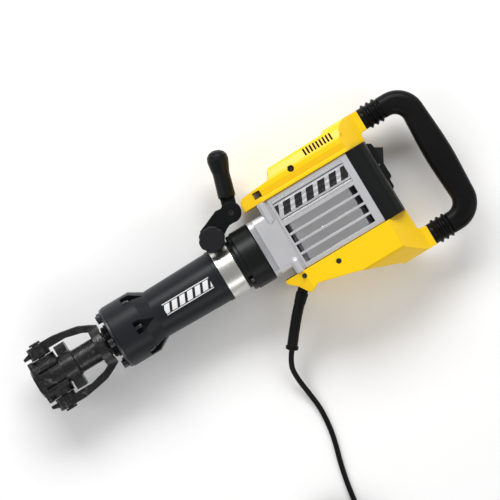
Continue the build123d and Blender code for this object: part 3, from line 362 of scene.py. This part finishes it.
def shade(colour: Sequence[float], factor: float) -> tuple[float, ...]:
    """A colour made darker or lighter.

    Args:
        colour: Red, green and blue.
        factor: What each is multiplied by, held at 1.

    Returns:
        The new colour.
    """
    return tuple(min(c * factor, 1.0) for c in colour)


# ------------------------------------------------------------------ finishes
@dataclass(frozen=True)
class Finish:
    """Base of all finishes: a name and a colour."""

    name: str
    colour: tuple[float, float, float]
    edge: float = 0.8

    def material(self) -> bpy.types.Material:
        """The finish's material, made once, under a name that no material of the frame has.

        Returns:
            The material.
        """
        label = f"finish_{self.name}"
        made = bpy.data.materials.get(label)
        if made is None:
            shader = Shader(label)
            self.paint(shader)
            made = shader.material
        return made

    def paint(self, shader: Shader) -> None:
        """Plain colour; each kind of finish does more.

        Args:
            shader: The material under construction.
        """
        shader.set(Base_Color=self.colour)

    def dress(self, piece: bpy.types.Object) -> bpy.types.Object:
        """Puts the finish on every slot of a piece.

        Args:
            piece: The object to dress.

        Returns:
            The same object.
        """
        slots = piece.data.materials
        if len(slots) == 0:
            slots.append(self.material())
        for i in range(len(slots)):
            slots[i] = self.material()
        return piece


@dataclass(frozen=True)
class MouldedPlastic(Finish):
    """Injection-moulded plastic with a fine spark-eroded grain and faint handling marks."""

    rough: float = 0.4
    grain: float = 0.25
    grain_scale: float = 1400.0
    marks: float = 0.06
    gloss_coat: float = 0.0
    spec: float = 0.35

    def paint(self, shader: Shader) -> None:
        """Grain in the normal, slow changes in colour and roughness.

        Args:
            shader: The material under construction.
        """
        cloud = shader.noise(14.0, 4.0)
        fine = shader.noise(self.grain_scale, 2.0)
        scuff = shader.band(shader.noise(90.0, 6.0, (1, 3, 1)), 0.60, 0.72)
        tone = shader.mix(cloud, shade(self.colour, 0.94), shade(self.colour, 1.05))
        shader.set(Base_Color=shader.mix(scuff * self.marks, tone, shade(self.colour, 1.5)))
        shader.set(Roughness=(self.rough + (cloud - 0.5) * 0.10 + scuff * 0.10).clamped())
        shader.set(Coat_Weight=self.gloss_coat, Coat_Roughness=0.12, Specular_IOR_Level=self.spec)
        shader.bump(fine, self.grain, 0.00012, self.edge)


@dataclass(frozen=True)
class CastMetal(Finish):
    """Die-cast aluminium or a painted casting, with a fine skin and slow flow marks."""

    rough: float = 0.42
    metallic: float = 1.0
    skin: float = 0.35
    skin_scale: float = 900.0
    spec: float = 0.5

    def paint(self, shader: Shader) -> None:
        """Casting skin in the normal; flow marks in colour and roughness.

        Args:
            shader: The material under construction.
        """
        flow = shader.noise(26.0, 5.0, (0.6, 1, 1), 0.6)
        skin = shader.noise(self.skin_scale, 3.0)
        specks = shader.band(shader.noise(420.0, 2.0), 0.66, 0.74)
        tone = shader.mix(flow, shade(self.colour, 0.93), shade(self.colour, 1.06))
        shader.set(Base_Color=shader.mix(specks * 0.25, tone, shade(self.colour, 0.8)))
        shader.set(Roughness=(self.rough + (flow - 0.5) * 0.14 + specks * 0.08).clamped())
        shader.set(Metallic=self.metallic, Specular_IOR_Level=self.spec)
        shader.bump(skin + flow * 0.6, self.skin, 0.00015, self.edge)


@dataclass(frozen=True)
class BrushedMetal(Finish):
    """Ground or brushed steel with lines round the tool axis or along it."""

    rough: float = 0.3
    stretch: tuple[float, float, float] = (60.0, 1.0, 1.0)
    line_scale: float = 40.0
    depth: float = 0.12

    def paint(self, shader: Shader) -> None:
        """Brush lines in roughness, colour and normal.

        Args:
            shader: The material under construction.
        """
        lines = shader.noise(self.line_scale, 5.0, self.stretch, 0.65)
        stain = shader.noise(22.0, 4.0)
        tone = shader.mix(lines, shade(self.colour, 0.86), shade(self.colour, 1.1))
        stained = shader.band(stain, 0.55, 0.75) * 0.35
        shader.set(Base_Color=shader.mix(stained, tone, shade(self.colour, 0.8)), Metallic=1.0)
        shader.set(Roughness=(self.rough + (lines - 0.5) * 0.22 + (stain - 0.5) * 0.1).clamped())
        shader.bump(lines, self.depth, 0.0001, self.edge)


@dataclass(frozen=True)
class ForgedSteel(Finish):
    """Oil-blacked forging: scale pits, oily patches and bright rubbed spots."""

    rough: float = 0.36

    def paint(self, shader: Shader) -> None:
        """Pits and hammer waves in the normal, rubbed spots in the colour.

        Args:
            shader: The material under construction.
        """
        wave = shader.noise(70.0, 4.0)
        pits = shader.band(shader.noise(360.0, 3.0), 0.58, 0.72)
        rubbed = shader.band(shader.noise(48.0, 6.0, rough=0.7), 0.58, 0.70)
        tone = shader.mix(wave, shade(self.colour, 0.7), shade(self.colour, 1.5))
        shader.set(Base_Color=shader.mix(rubbed * 0.22, tone, (0.32, 0.31, 0.30)), Specular_IOR_Level=0.45)
        shader.set(Roughness=(self.rough + (wave - 0.5) * 0.3 - rubbed * 0.08 + pits * 0.12).clamped())
        shader.bump(wave * 0.8 - pits * 0.5, 0.75, 0.0012, self.edge)


@dataclass(frozen=True)
class SoftRubber(Finish):
    """Matte rubber with a fine bloom and a soft sheen."""

    rough: float = 0.5
    grain: float = 0.2

    def paint(self, shader: Shader) -> None:
        """Fine grain and a dusty bloom.

        Args:
            shader: The material under construction.
        """
        bloom = shader.noise(30.0, 5.0)
        fine = shader.noise(1100.0, 2.0)
        shader.set(Base_Color=shader.mix(bloom, shade(self.colour, 0.8), shade(self.colour, 1.35)))
        shader.set(Roughness=(self.rough + (bloom - 0.5) * 0.16).clamped(), Specular_IOR_Level=0.10)
        shader.bump(fine, self.grain, 0.0001, self.edge)


@dataclass(frozen=True)
class PrintedPlate(Finish):
    """Silver side plates with a dark slanted-bar print, and a white badge with dark bars on the barrel."""

    ink: tuple[float, float, float] = (0.012, 0.012, 0.013)
    badge: tuple[float, float, float] = (0.72, 0.72, 0.73)
    side_low: float = 26.5
    side_high: float = 54.5
    badge_low: float = -10.8
    badge_high: float = 7.8
    rule: float = 0.7
    slant: float = 0.45
    side_pitch: float = 21.5
    side_share: float = 0.62
    side_margin: float = 4.0
    badge_pitch: float = 14.5
    badge_share: float = 0.66
    badge_margin: float = 2.0
    barrel_ends: float = 50.0

    def stripes(self, shader: Shader, x: Sock, y: Sock, pitch: float, share: float) -> Sock:
        """Slanted bars: 1 on a bar and 0 between two.

        Args:
            shader: The material under construction.
            x: Place along the tool.
            y: Place across it.
            pitch: From one bar to the next, in millimetres.
            share: The bar's share of the pitch.

        Returns:
            The mask's socket.
        """
        phase = ((x - y * self.slant) * (1 / (pitch * MM))).math("FRACT")
        return shader.band(phase, share - 0.015, share + 0.015).math("LESS_THAN", 0.5)

    def within(self, value: Sock, low: float, high: float) -> Sock:
        """1 between two values and 0 outside.

        Args:
            value: The value.
            low: Lower limit.
            high: Upper limit.

        Returns:
            The mask's socket.
        """
        return value.math("GREATER_THAN", low) * value.math("LESS_THAN", high)

    def paint(self, shader: Shader) -> None:
        """Picks plate or badge by its place along the tool, then prints the bars and two border lines.

        Args:
            shader: The material under construction.
        """
        x, y, _ = shader.split()
        on_side = x.math("GREATER_THAN", PLACES.at(self.barrel_ends, 0).x)
        lows = [PLACES.at(0, v).y for v in (self.side_low, self.badge_low)]
        highs = [PLACES.at(0, v).y for v in (self.side_high, self.badge_high)]
        inset = self.side_margin * MM
        bold = self.stripes(shader, x, y, self.side_pitch, self.side_share)
        bold = bold * self.within(y, lows[0] + inset, highs[0] - inset)
        inset = self.badge_margin * MM
        fine = self.stripes(shader, x, y, self.badge_pitch, self.badge_share)
        fine = fine * self.within(y, lows[1] + inset, highs[1] - inset)
        rule = self.rule * MM
        rules = [self.within(y, high - rule, high + rule) + self.within(y, low - rule, low + rule)
                 for low, high in zip(lows, highs)]
        side_print = (bold + rules[0]).clamped()
        badge_print = (fine + rules[1]).clamped()
        print_mask = side_print * on_side
        plate = shader.mix(side_print, self.colour, self.ink)
        badge = shader.mix(badge_print, self.ink, self.badge)
        brushed = shader.noise(70.0, 4.0, (0.4, 6, 1))
        shader.set(Base_Color=shader.mix(on_side, badge, plate), Metallic=on_side * (1 - print_mask) * 0.6)
        shader.set(Roughness=(0.34 + (brushed - 0.5) * 0.12).clamped())
        shader.bump(brushed - print_mask * 0.6, 0.12, 0.0001)


@dataclass(frozen=True)
class StudioFloor(Finish):
    """Pale matte floor."""

    def paint(self, shader: Shader) -> None:
        """Almost white, with a trace of paper tooth.

        Args:
            shader: The material under construction.
        """
        tooth = shader.noise(60.0, 3.0)
        shader.set(Base_Color=shader.mix(tooth, shade(self.colour, 0.995), self.colour), Roughness=0.9)
        shader.set(Specular_IOR_Level=0.1)


YELLOW = MouldedPlastic("yellow_moulded", (0.88, 0.55, 0.001), edge=2.0, rough=0.36, grain=0.10,
                        marks=0.02, gloss_coat=0.15)
BLACK_PLASTIC = MouldedPlastic("black_moulded", (0.006, 0.0065, 0.0065), rough=0.36, grain=0.25, spec=0.2)
KNOB_PLASTIC = MouldedPlastic("knob_moulded", (0.010, 0.009, 0.011), edge=2.5, rough=0.45, grain=0.2,
                              spec=0.2)
GRIP_PLASTIC = MouldedPlastic("grip_moulded", (0.005, 0.0055, 0.006), edge=3.0, rough=0.36, grain=0.2,
                              spec=0.15)
SWITCH_PLASTIC = MouldedPlastic("switch_moulded", (0.011, 0.011, 0.011), rough=0.45, grain=0.2, spec=0.2)
INNER_PLASTIC = MouldedPlastic("inner_moulded", (0.06, 0.06, 0.065), rough=0.5)
BARREL_PAINT = CastMetal("barrel_paint", (0.014, 0.016, 0.018), edge=1.6, rough=0.34,
                         metallic=0.0, skin=0.14, spec=0.14)
CAST_ALU = CastMetal("cast_aluminium", (0.58, 0.58, 0.60), rough=0.42, metallic=0.55, skin=0.16)
INNER_ALU = CastMetal("machined_alloy", (0.5, 0.5, 0.5), rough=0.35)
BAND_STEEL = BrushedMetal("band_steel", (0.80, 0.79, 0.75), rough=0.3)
TURNED_STEEL = BrushedMetal("turned_steel", (0.55, 0.55, 0.56), rough=0.28, stretch=(40.0, 1.0, 1.0))
DARK_STEEL = BrushedMetal("blackened_steel", (0.07, 0.07, 0.075), rough=0.34, stretch=(1, 1, 1),
                          line_scale=200.0)
LINER_ALU = BrushedMetal("liner_alloy", (0.88, 0.88, 0.89), rough=0.16, stretch=(1.0, 50.0, 1.0))
LAMINATED = BrushedMetal("laminations", (0.3, 0.3, 0.32), rough=0.4, stretch=(1.0, 80.0, 1.0))
COPPER = BrushedMetal("copper", (0.6, 0.25, 0.12), rough=0.3, stretch=(1.0, 40.0, 1.0))
BRONZE = BrushedMetal("bronze", (0.5, 0.32, 0.13), rough=0.35, stretch=(1, 1, 1), line_scale=300.0)
FORGED = ForgedSteel("forged_steel", (0.006, 0.006, 0.007), edge=3.5, rough=0.3)
HANDLE_RUBBER = SoftRubber("handle_rubber", (0.005, 0.005, 0.0055), edge=3.0, rough=0.38)
BELLOWS_RUBBER = SoftRubber("bellows_rubber", (0.004, 0.004, 0.0045), rough=0.34)
SLEEVE_RUBBER = SoftRubber("sleeve_rubber", (0.006, 0.006, 0.006), rough=0.42)
CORD_RUBBER = SoftRubber("cord_rubber", (0.005, 0.005, 0.005), rough=0.38)
CARBON = SoftRubber("carbon", (0.02, 0.02, 0.02), rough=0.6)
PLATE_PRINT = PrintedPlate("printed_plate", (0.68, 0.68, 0.70))
TIE_FABRIC = SoftRubber("tie_fabric", (0.03, 0.03, 0.032), rough=0.85, grain=0.8)
FLOOR = StudioFloor("floor_paper", (0.90, 0.90, 0.90))


# ------------------------------------------------------------------ mesh tools
def new_piece(name: str, mesh: bpy.types.Mesh, body: Body | None, finish: Finish) -> bpy.types.Object:
    """Links a mesh as a piece that rides on a body.

    Args:
        name: The piece's name.
        mesh: Its mesh, in the row frame.
        body: The CAD body that it rides on, or None for a piece that is left without a body.
        finish: What it is dressed in.

    Returns:
        The piece.
    """
    piece = bpy.data.objects.new(name, mesh)
    bpy.context.collection.objects.link(piece)
    finish.dress(piece)
    for face in mesh.polygons:
        face.use_smooth = True
    if body is not None:
        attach(piece, body.value)
    LOG.info("%s rides on %s", name, body.value if body else "two bodies")
    return piece


def mesh_from(name: str, build: Callable[[bmesh.types.BMesh], None]) -> bpy.types.Mesh:
    """Mesh filled by a function that works on a bmesh.

    Args:
        name: The mesh's name.
        build: Function that fills the bmesh.

    Returns:
        The mesh.
    """
    work = bmesh.new()
    build(work)
    bmesh.ops.recalc_face_normals(work, faces=work.faces)
    mesh = bpy.data.meshes.new(name)
    work.to_mesh(mesh)
    work.free()
    return mesh


def lathe_x(work: bmesh.types.BMesh, profile: Sequence[tuple[float, float]], centre: Vector,
            steps: int = 72) -> None:
    """Closed ring of revolution about an X axis.

    Args:
        work: The bmesh to add to.
        profile: Closed outline as (x, radius), in metres, x in the row frame.
        centre: A point on the axis; its x isn't used.
        steps: Faces round the axis.
    """
    rings = []
    for x, r in profile:
        ring = []
        for i in range(steps):
            a = 2 * math.pi * i / steps
            ring.append(work.verts.new((x, centre.y + r * math.cos(a), centre.z + r * math.sin(a))))
        rings.append(ring)
    for first, then in zip(rings, rings[1:] + rings[:1]):
        for i in range(steps):
            j = (i + 1) % steps
            work.faces.new((first[i], first[j], then[j], then[i]))


def dress(finish: Finish, *nodes: str) -> None:
    """Dresses pieces of the frame.

    Args:
        finish: What they are dressed in.
        nodes: Their names.
    """
    for node in nodes:
        finish.dress(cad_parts[node])
        LOG.info("%s wears %s", node, finish.name)


# ------------------------------------------------------------------ sub-assemblies
@dataclass
class Nose:
    """Tool holder, retainer and front ring."""

    def build(self) -> None:
        """Dresses forgings, ring and flange."""
        dress(FORGED, "tool_holder", "retainer_bail")
        dress(DARK_STEEL, "retainer_pins", "front_plate", "flange_bolts")
        dress(BELLOWS_RUBBER, "nose_ring")


@dataclass
class Barrel:
    """Painted barrel with its badge."""

    def build(self) -> None:
        """Dresses barrel and badge."""
        dress(BARREL_PAINT, "barrel_housing")
        dress(PLATE_PRINT, "name_plates")


@dataclass
class Casing:
    """Castings, covers, end cap and the screws in them."""

    def build(self) -> None:
        """Dresses the castings and the covers."""
        dress(CAST_ALU, "gear_case", "motor_housing")
        dress(LINER_ALU, "motor_liners")
        dress(BLACK_PLASTIC, "neck_collar", "rear_end_cap", "switch_bezel")
        dress(SWITCH_PLASTIC, "switch_rocker")
        dress(YELLOW, "top_cover", "bottom_cover")
        dress(DARK_STEEL, "housing_screws")
        dress(SLEEVE_RUBBER, "cord_sleeve")


@dataclass
class VentScreen:
    """Pleated dust screen under the air vents of the upper cover."""

    starts: float = 199.0
    ends: float = 257.0
    low: float = 90.0
    high: float = 106.5
    level: float = 34.0
    pleat: float = 3.0
    thick: float = 1.0

    def build(self) -> None:
        """Makes the pleated sheet for both sides of the cover."""
        for label, side in (("right", 1), ("left", -1)):
            mesh = mesh_from(f"{label}_vent_screen", lambda work: self.sheet(work, side))
            new_piece(f"{label}_vent_screen", mesh, Body.HOUSING, INNER_PLASTIC)

    def sheet(self, work: bmesh.types.BMesh, side: int) -> None:
        """Zigzag strip with a real thickness.

        Args:
            work: The bmesh to add to.
            side: 1 for the upper side, -1 for the lower.
        """
        count = int((self.ends - self.starts) / self.pleat)
        rows = []
        for i in range(count + 1):
            x = self.starts + i * self.pleat
            z = side * (self.level + (self.pleat if i % 2 else 0.0))
            rows.append([work.verts.new(PLACES.at(x, y, z + dz)) for y, dz in
                         ((self.low, 0), (self.high, 0), (self.high, self.thick), (self.low, self.thick))])
        for first, then in zip(rows, rows[1:]):
            for k in range(4):
                m = (k + 1) % 4
                work.faces.new((first[k], first[m], then[m], then[k]))
        work.faces.new(rows[0])
        work.faces.new(rows[-1])


@dataclass
class SideHandle:
    """Clamp band, bracket, knob and grip."""

    def build(self) -> None:
        """Dresses the side handle."""
        dress(BAND_STEEL, "clamp_band")
        dress(DARK_STEEL, "clamp_bolt", "knuckle_bolt")
        dress(KNOB_PLASTIC, "clamp_knob")
        dress(GRIP_PLASTIC, "handle_bracket", "side_grip")


@dataclass
class Mechanism:
    """Pieces inside the castings."""

    def build(self) -> None:
        """Dresses motor, gears and striking gear."""
        dress(TURNED_STEEL, "beat_piece", "striker", "wrist_pin", "rocker_pin", "guide_rods", "crank_gear",
              "idler_gear", "shaft_bearings", "cylinder_sleeve")
        dress(BRONZE, "beat_piece_bush", "guide_bushes", "brush_holders")
        dress(SLEEVE_RUBBER, "impact_damper", "striker_seal", "piston_seal")
        dress(INNER_ALU, "piston", "connecting_rod", "bearing_bridge", "handle_core")
        dress(LAMINATED, "armature", "field_stator")
        dress(COPPER, "armature_windings", "commutator", "field_coils")
        dress(CARBON, "carbon_brushes")
        dress(INNER_PLASTIC, "cooling_fan", "switch_body", "control_module", "cord_clamp")


@dataclass
class RearHandle:
    """D handle, its bellows and its springs."""

    leg_heights: tuple[float, float] = (100.0, -120.0)
    starts: tuple[float, float] = (311.0, 313.0)
    leg_x: float = 350.0
    ribs: int = 3
    rib_pitch: float = 10.0
    spring_start: float = 311.0
    spring_coils: int = 5
    spring_radius: float = 9.5
    wire: float = 1.6
    wire_sides: int = 8
    coil_steps: int = 24

    def profile(self, start: float) -> list[tuple[float, float]]:
        """Outline of one bellows as (x, radius) in millimetres of the tool frame.

        Args:
            start: Where the cuff starts.

        Returns:
            The outline's points.
        """
        points = [(start, 14.0), (start, 17.2), (start + 0.7, 17.9), (start + 7.2, 17.9)]
        first = start + 12.0
        for i in range(self.ribs):
            peak = first + i * self.rib_pitch
            for k in range(-6, 7):
                a = math.pi * k / 6
                points.append((peak + k * 0.72, 17.4 + 3.8 * (0.5 + 0.5 * math.cos(a)) ** 0.8))
        points += [(self.leg_x - 0.9, 17.6), (self.leg_x - 0.3, 17.0), (self.leg_x - 0.3, 14.0)]
        return points

    def bellows(self, label: str, height: float, start: float) -> bpy.types.Object:
        """One bellows, joined to the cover and the handle leg.

        Args:
            label: Name of the piece.
            height: The leg's place across the tool, in millimetres.
            start: Where the cuff starts.

        Returns:
            The bellows.
        """
        centre = PLACES.at(0, height)
        profile = [(PLACES.at(x, 0).x, r * MM) for x, r in self.profile(start)]
        mesh = mesh_from(label, lambda work: lathe_x(work, profile, centre))
        piece = new_piece(label, mesh, None, BELLOWS_RUBBER)
        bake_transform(piece)
        return piece

    def spring(self, label: str, height: float) -> bpy.types.Object:
        """One isolator spring round its guide rod.

        Args:
            label: Name of the piece.
            height: The leg's place across the tool, in millimetres.

        Returns:
            The spring.
        """
        low, high = self.spring_start, self.leg_x - 2.0
        steps = self.spring_coils * self.coil_steps
        turns = [2 * math.pi * k / self.wire_sides for k in range(self.wire_sides)]

        def build(work: bmesh.types.BMesh) -> None:
            """Sweeps the wire's section along the helix.

            Args:
                work: The bmesh to add to.
            """
            rings = []
            for i in range(steps + 1):
                t = i / steps
                a = 2 * math.pi * self.spring_coils * t
                out = Vector((0, math.cos(a), math.sin(a)))
                along = Vector((1, 0, 0))
                middle = PLACES.at(low + (high - low) * t, height) + out * self.spring_radius * MM
                section = [(out * math.cos(b) + along * math.sin(b)) * self.wire * MM for b in turns]
                rings.append([work.verts.new(middle + offset) for offset in section])
            for first, then in zip(rings, rings[1:]):
                for k in range(self.wire_sides):
                    m = (k + 1) % self.wire_sides
                    work.faces.new((first[k], first[m], then[m], then[k]))
            work.faces.new(rings[0])
            work.faces.new(rings[-1])

        piece = new_piece(label, mesh_from(label, build), None, TURNED_STEEL)
        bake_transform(piece)
        return piece

    def build(self) -> None:
        """Dresses the handle and adds bellows and springs."""
        dress(HANDLE_RUBBER, "rear_handle_grip")
        bellows = [self.bellows(f"{side}_bellows", height, start) for side, height, start
                   in zip(("upper", "lower"), self.leg_heights, self.starts)]
        springs = [self.spring(f"{side}_spring", height)
                   for side, height in zip(("upper", "lower"), self.leg_heights)]
        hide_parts("handle_bellows")
        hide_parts("isolator_springs")


@dataclass
class MainsLead:
    """Mains lead: bend relief, free run, coil, tie and plug."""

    diameter: float = 9.0
    route: tuple[tuple[float, float, float], ...] = (
        (22, -164, -24), (5.68, -184.85, -33.07), (4, -212, -46), (8, -243, -56), (12, -278, -60.5),
        (7, -325, -60.5), (-9, -377, -60.5), (-19, -430, -60.5), (-21.5, -463, -60.5))
    coil_centre: tuple[float, float] = (-83.0, -493.0)
    coil_radius: float = 52.5
    columns: int = 3
    layers: int = 4
    floor: float = -65.0
    per_turn: int = 16
    tail_radius: float = 40.0
    tail_straight: float = 6.0
    tail_inside: float = 2.0
    arc_per_turn: int = 24
    tie_width: float = 14.0
    tie_thick: float = 1.0

    def coil_points(self) -> list[tuple[float, float, float]]:
        """Points of the wound turns, layer by layer, from the outer column of the lowest layer.

        Returns:
            The points, in millimetres of the tool frame.
        """
        points = []
        x, y = self.coil_centre
        order = []
        for layer in range(self.layers):
            columns = list(range(self.columns - 1, -1, -1))
            if layer % 2:
                columns.reverse()
            order += [(layer, column) for column in columns]
        order = order[:-1]
        places = [(self.coil_radius + (column - (self.columns - 1) / 2) * self.diameter,
                   self.floor + (layer + 0.5) * self.diameter) for layer, column in order]
        for i, (radius, height) in enumerate(places):
            then = places[min(i + 1, len(places) - 1)]
            for k in range(self.per_turn):
                # the step to the next turn is spread over the last half of this one
                t = max(0.0, (k / self.per_turn - 0.5) / 0.5)
                t = t * t * (3 - 2 * t)
                r = radius + (then[0] - radius) * t
                z = height + (then[1] - height) * t
                a = -2 * math.pi * k / self.per_turn
                points.append((x + r * math.cos(a), y + r * math.sin(a), z))
        return points

    def plug_place(self) -> Vector:
        """Where the lead enters the plug's relief, at the CAD plug's high-X end.

        Returns:
            The point, in the row frame.
        """
        low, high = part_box("cord_plug")
        return Vector((high[0], (low[1] + high[1]) / 2, (low[2] + high[2]) / 2))

    def tail_points(self, points: list[Vector]) -> list[Vector]:
        """The lead's end: off the top turn along its tangent, round a wide arc and straight into the plug.

        Args:
            points: The points so far; those of the last turn past the point of leaving are dropped.

        Returns:
            The points with the end added.
        """
        plug = self.plug_place()
        centre = PLACES.at(*self.coil_centre)
        radius = self.tail_radius * MM
        turn = self.coil_radius * MM
        arc = Vector((plug.x + self.tail_straight * MM, plug.y + radius, 0))
        away = Vector((arc.x - centre.x, arc.y - centre.y))
        leave = math.atan2(away.y, away.x) + math.acos((turn - radius) / away.length)
        spare = self.per_turn - 1 - int((2 * math.pi - leave) / (2 * math.pi / self.per_turn))
        points = points[:-spare] if spare else points
        start = Vector((centre.x + turn * math.cos(leave), centre.y + turn * math.sin(leave), 0))
        sweep = leave + math.pi / 2
        steps = math.ceil(sweep / (2 * math.pi / self.arc_per_turn))
        path = [start]
        for k in range(steps + 1):
            a = leave - sweep * k / steps
            path.append(Vector((arc.x + radius * math.cos(a), arc.y + radius * math.sin(a), 0)))
        path.append(Vector((plug.x, plug.y, 0)))
        low = points[-1].z
        runs = [(b - a).length for a, b in zip(path, path[1:-1])]
        for k, point in enumerate(path):
            t = min(1.0, sum(runs[:k]) / sum(runs))
            point.z = low + (plug.z - low) * t * t * (3 - 2 * t)
        path.append(plug - Vector((self.tail_inside * MM, 0, 0)))
        return points + path

    def tie(self) -> bpy.types.Object:
        """Band that holds the wound turns together, round the coil's side away from the plug.

        Returns:
            The band.
        """
        centre = PLACES.at(*self.coil_centre)
        base = PLACES.at(0, 0, self.floor).z
        half = self.columns * self.diameter / 2 * MM
        height = self.layers * self.diameter * MM
        thick = self.tie_thick * MM
        corner = self.diameter / 2 * MM
        wide = self.tie_width / 2 * MM

        def loop(grow: float, along: float) -> list[Vector]:
            """One rounded rectangle round the turns, in the plane across them.

            Args:
                grow: How far out of the inner face.
                along: Place along the turns.

            Returns:
                The loop's points.
            """
            ring = []
            low, high = base + thick - grow, base + height + grow
            for quarter in range(4):
                side = 1 if quarter in (0, 3) else -1
                level = high - corner - grow if quarter in (0, 1) else low + corner + grow
                for step in range(5):
                    a = math.radians(90 * quarter + 22.5 * step)
                    reach = side * (half - corner) + (corner + grow) * math.cos(a)
                    ring.append(Vector((centre.x + along, centre.y + self.coil_radius * MM + reach,
                                        level + (corner + grow) * math.sin(a))))
            return ring

        def fill(work: bmesh.types.BMesh) -> None:
            """Closed band between its inner and outer loops.

            Args:
                work: The bmesh to add to.
            """
            rings = [[work.verts.new(p) for p in loop(grow, along)] for grow, along in
                     ((0, -wide), (thick, -wide), (thick, wide), (0, wide))]
            count = len(rings[0])
            for one, two in zip(rings, rings[1:] + rings[:1]):
                for k in range(count):
                    work.faces.new((one[k], one[(k + 1) % count], two[(k + 1) % count], two[k]))

        return new_piece("coil_tie", mesh_from("coil_tie", fill), Body.HOUSING, TIE_FABRIC)

    def curve(self, points: Sequence[Vector]) -> bpy.types.Object:
        """One open NURBS spline through the route, with the lead's thickness.

        Args:
            points: The route's points, in the row frame.

        Returns:
            The lead.
        """
        data = bpy.data.curves.new("mains_lead", "CURVE")
        data.dimensions = "3D"
        data.bevel_depth = self.diameter / 2 * MM
        data.bevel_resolution = 5
        data.resolution_u = 5
        data.use_fill_caps = True
        spline = data.splines.new("NURBS")
        spline.points.add(len(points) - 1)
        for point, place in zip(spline.points, points):
            point.co = (*place, 1.0)
        spline.order_u = 3
        spline.use_endpoint_u = True
        piece = bpy.data.objects.new("mains_lead", data)
        bpy.context.collection.objects.link(piece)
        return CORD_RUBBER.dress(piece)

    def build(self) -> None:
        points = [PLACES.at(*p) for p in self.route]
        points += [PLACES.at(*p) for p in self.coil_points()]
        points = self.tail_points(points)
        lead = self.curve(points)
        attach(lead, Body.HOUSING.value)
        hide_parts("cord_tube", "cord_coil")
        plug = CORD_RUBBER.dress(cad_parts["cord_plug"])
        self.length(points)
        self.tie()

    def length(self, points: Sequence[Vector]) -> float:
        """The curve's own length in metres, to the nearest centimetre.

        Each stretch of the curve runs between the middles of two legs of the route and cuts the corner there.

        Args:
            points: The route's points, in metres.

        Returns:
            The length.
        """
        middles = [points[0]] + [(a + b) / 2 for a, b in zip(points[1:], points[2:-1])] + [points[-1]]
        total = 0.0
        for a, corner, b in zip(middles, points[1:-1], middles[1:]):
            total += (2 * (b - a).length + (corner - a).length + (b - corner).length) / 3
        return round(total, 2)


@dataclass
class Studio:
    """Floor, lights and camera."""

    view_width: float = 0.82
    distance: float = 4.0
    roll: float = -30.95
    middle: tuple[float, float] = (46.15, 10.92)
    floor_size: float = 12.0
    sky: float = 0.30
    boxes: tuple[tuple[str, tuple[float, float, float], tuple[float, float], float], ...] = (
        ("key_light", (-0.4, 1.8, 1.6), (2.4, 0.9), 66.0),
        ("fill_light", (1.9, -0.2, 1.5), (0.9, 1.8), 9.0),
        ("left_light", (-1.9, -0.2, 1.5), (0.9, 1.8), 9.0),
        ("low_light", (0.0, -1.9, 1.2), (2.2, 0.7), 15.0))

    def floor(self) -> None:
        """A pale plane under the hammer."""
        mesh = mesh_from("floor", lambda work: bmesh.ops.create_grid(
            work, x_segments=2, y_segments=2, size=self.floor_size / 2))
        floor = bpy.data.objects.new("floor", mesh)
        bpy.context.collection.objects.link(floor)
        FLOOR.dress(floor)

    def light(self, name: str, place: Sequence[float], size: Sequence[float], power: float) -> None:
        """One soft box aimed at the hammer, placed along the view's right and up, and towards the lens.

        Args:
            name: The lamp's name.
            place: Its place from the hammer's middle, in metres.
            size: Its two sides, in metres.
            power: Its power in watts.
        """
        lamp = bpy.data.lights.new(name, "AREA")
        lamp.shape = "RECTANGLE"
        lamp.size, lamp.size_y = size
        lamp.energy = power
        piece = bpy.data.objects.new(name, lamp)
        turn = Matrix.Rotation(math.radians(self.roll), 4, "Z")
        aim = PLACES.at(*self.middle)
        piece.location = turn @ Vector(place) + Vector((aim.x, aim.y, 0))
        piece.rotation_euler = (aim - piece.location).to_track_quat("-Z", "Y").to_euler()
        bpy.context.collection.objects.link(piece)

    def camera(self) -> None:
        """Long lens straight above, rolled so that the tool rises to the right."""
        data = bpy.data.cameras.new("camera")
        data.sensor_width = 36.0
        data.lens = data.sensor_width * self.distance / self.view_width
        piece = bpy.data.objects.new("camera", data)
        aim = PLACES.at(*self.middle)
        piece.location = (aim.x, aim.y, aim.z + self.distance)
        piece.rotation_euler = (0, 0, math.radians(self.roll))
        bpy.context.collection.objects.link(piece)
        bpy.context.scene.camera = piece

    def build(self) -> None:
        """Sets up floor, lights, sky and camera."""
        self.floor()
        for name, place, size, power in self.boxes:
            self.light(name, place, size, power)
        world = bpy.data.worlds.new("sky")
        world.use_nodes = True
        sky = world.node_tree.nodes["Background"]
        sky.inputs[0].default_value = (1, 1, 1, 1)
        sky.inputs[1].default_value = self.sky
        bpy.context.scene.world = world
        bpy.context.scene.view_settings.view_transform = "Standard"
        self.camera()


def main() -> None:
    """Builds every sub-assembly in order and reports it."""
    logging.basicConfig(level=logging.INFO, format="%(name)s: %(message)s")
    for part in (Studio(), MainsLead(), Nose(), Barrel(), Casing(), VentScreen(), SideHandle(), Mechanism(),
                 RearHandle()):
        part.build()
        LOG.info("%s is built", type(part).__name__)


if __name__ == "__main__":
    main()
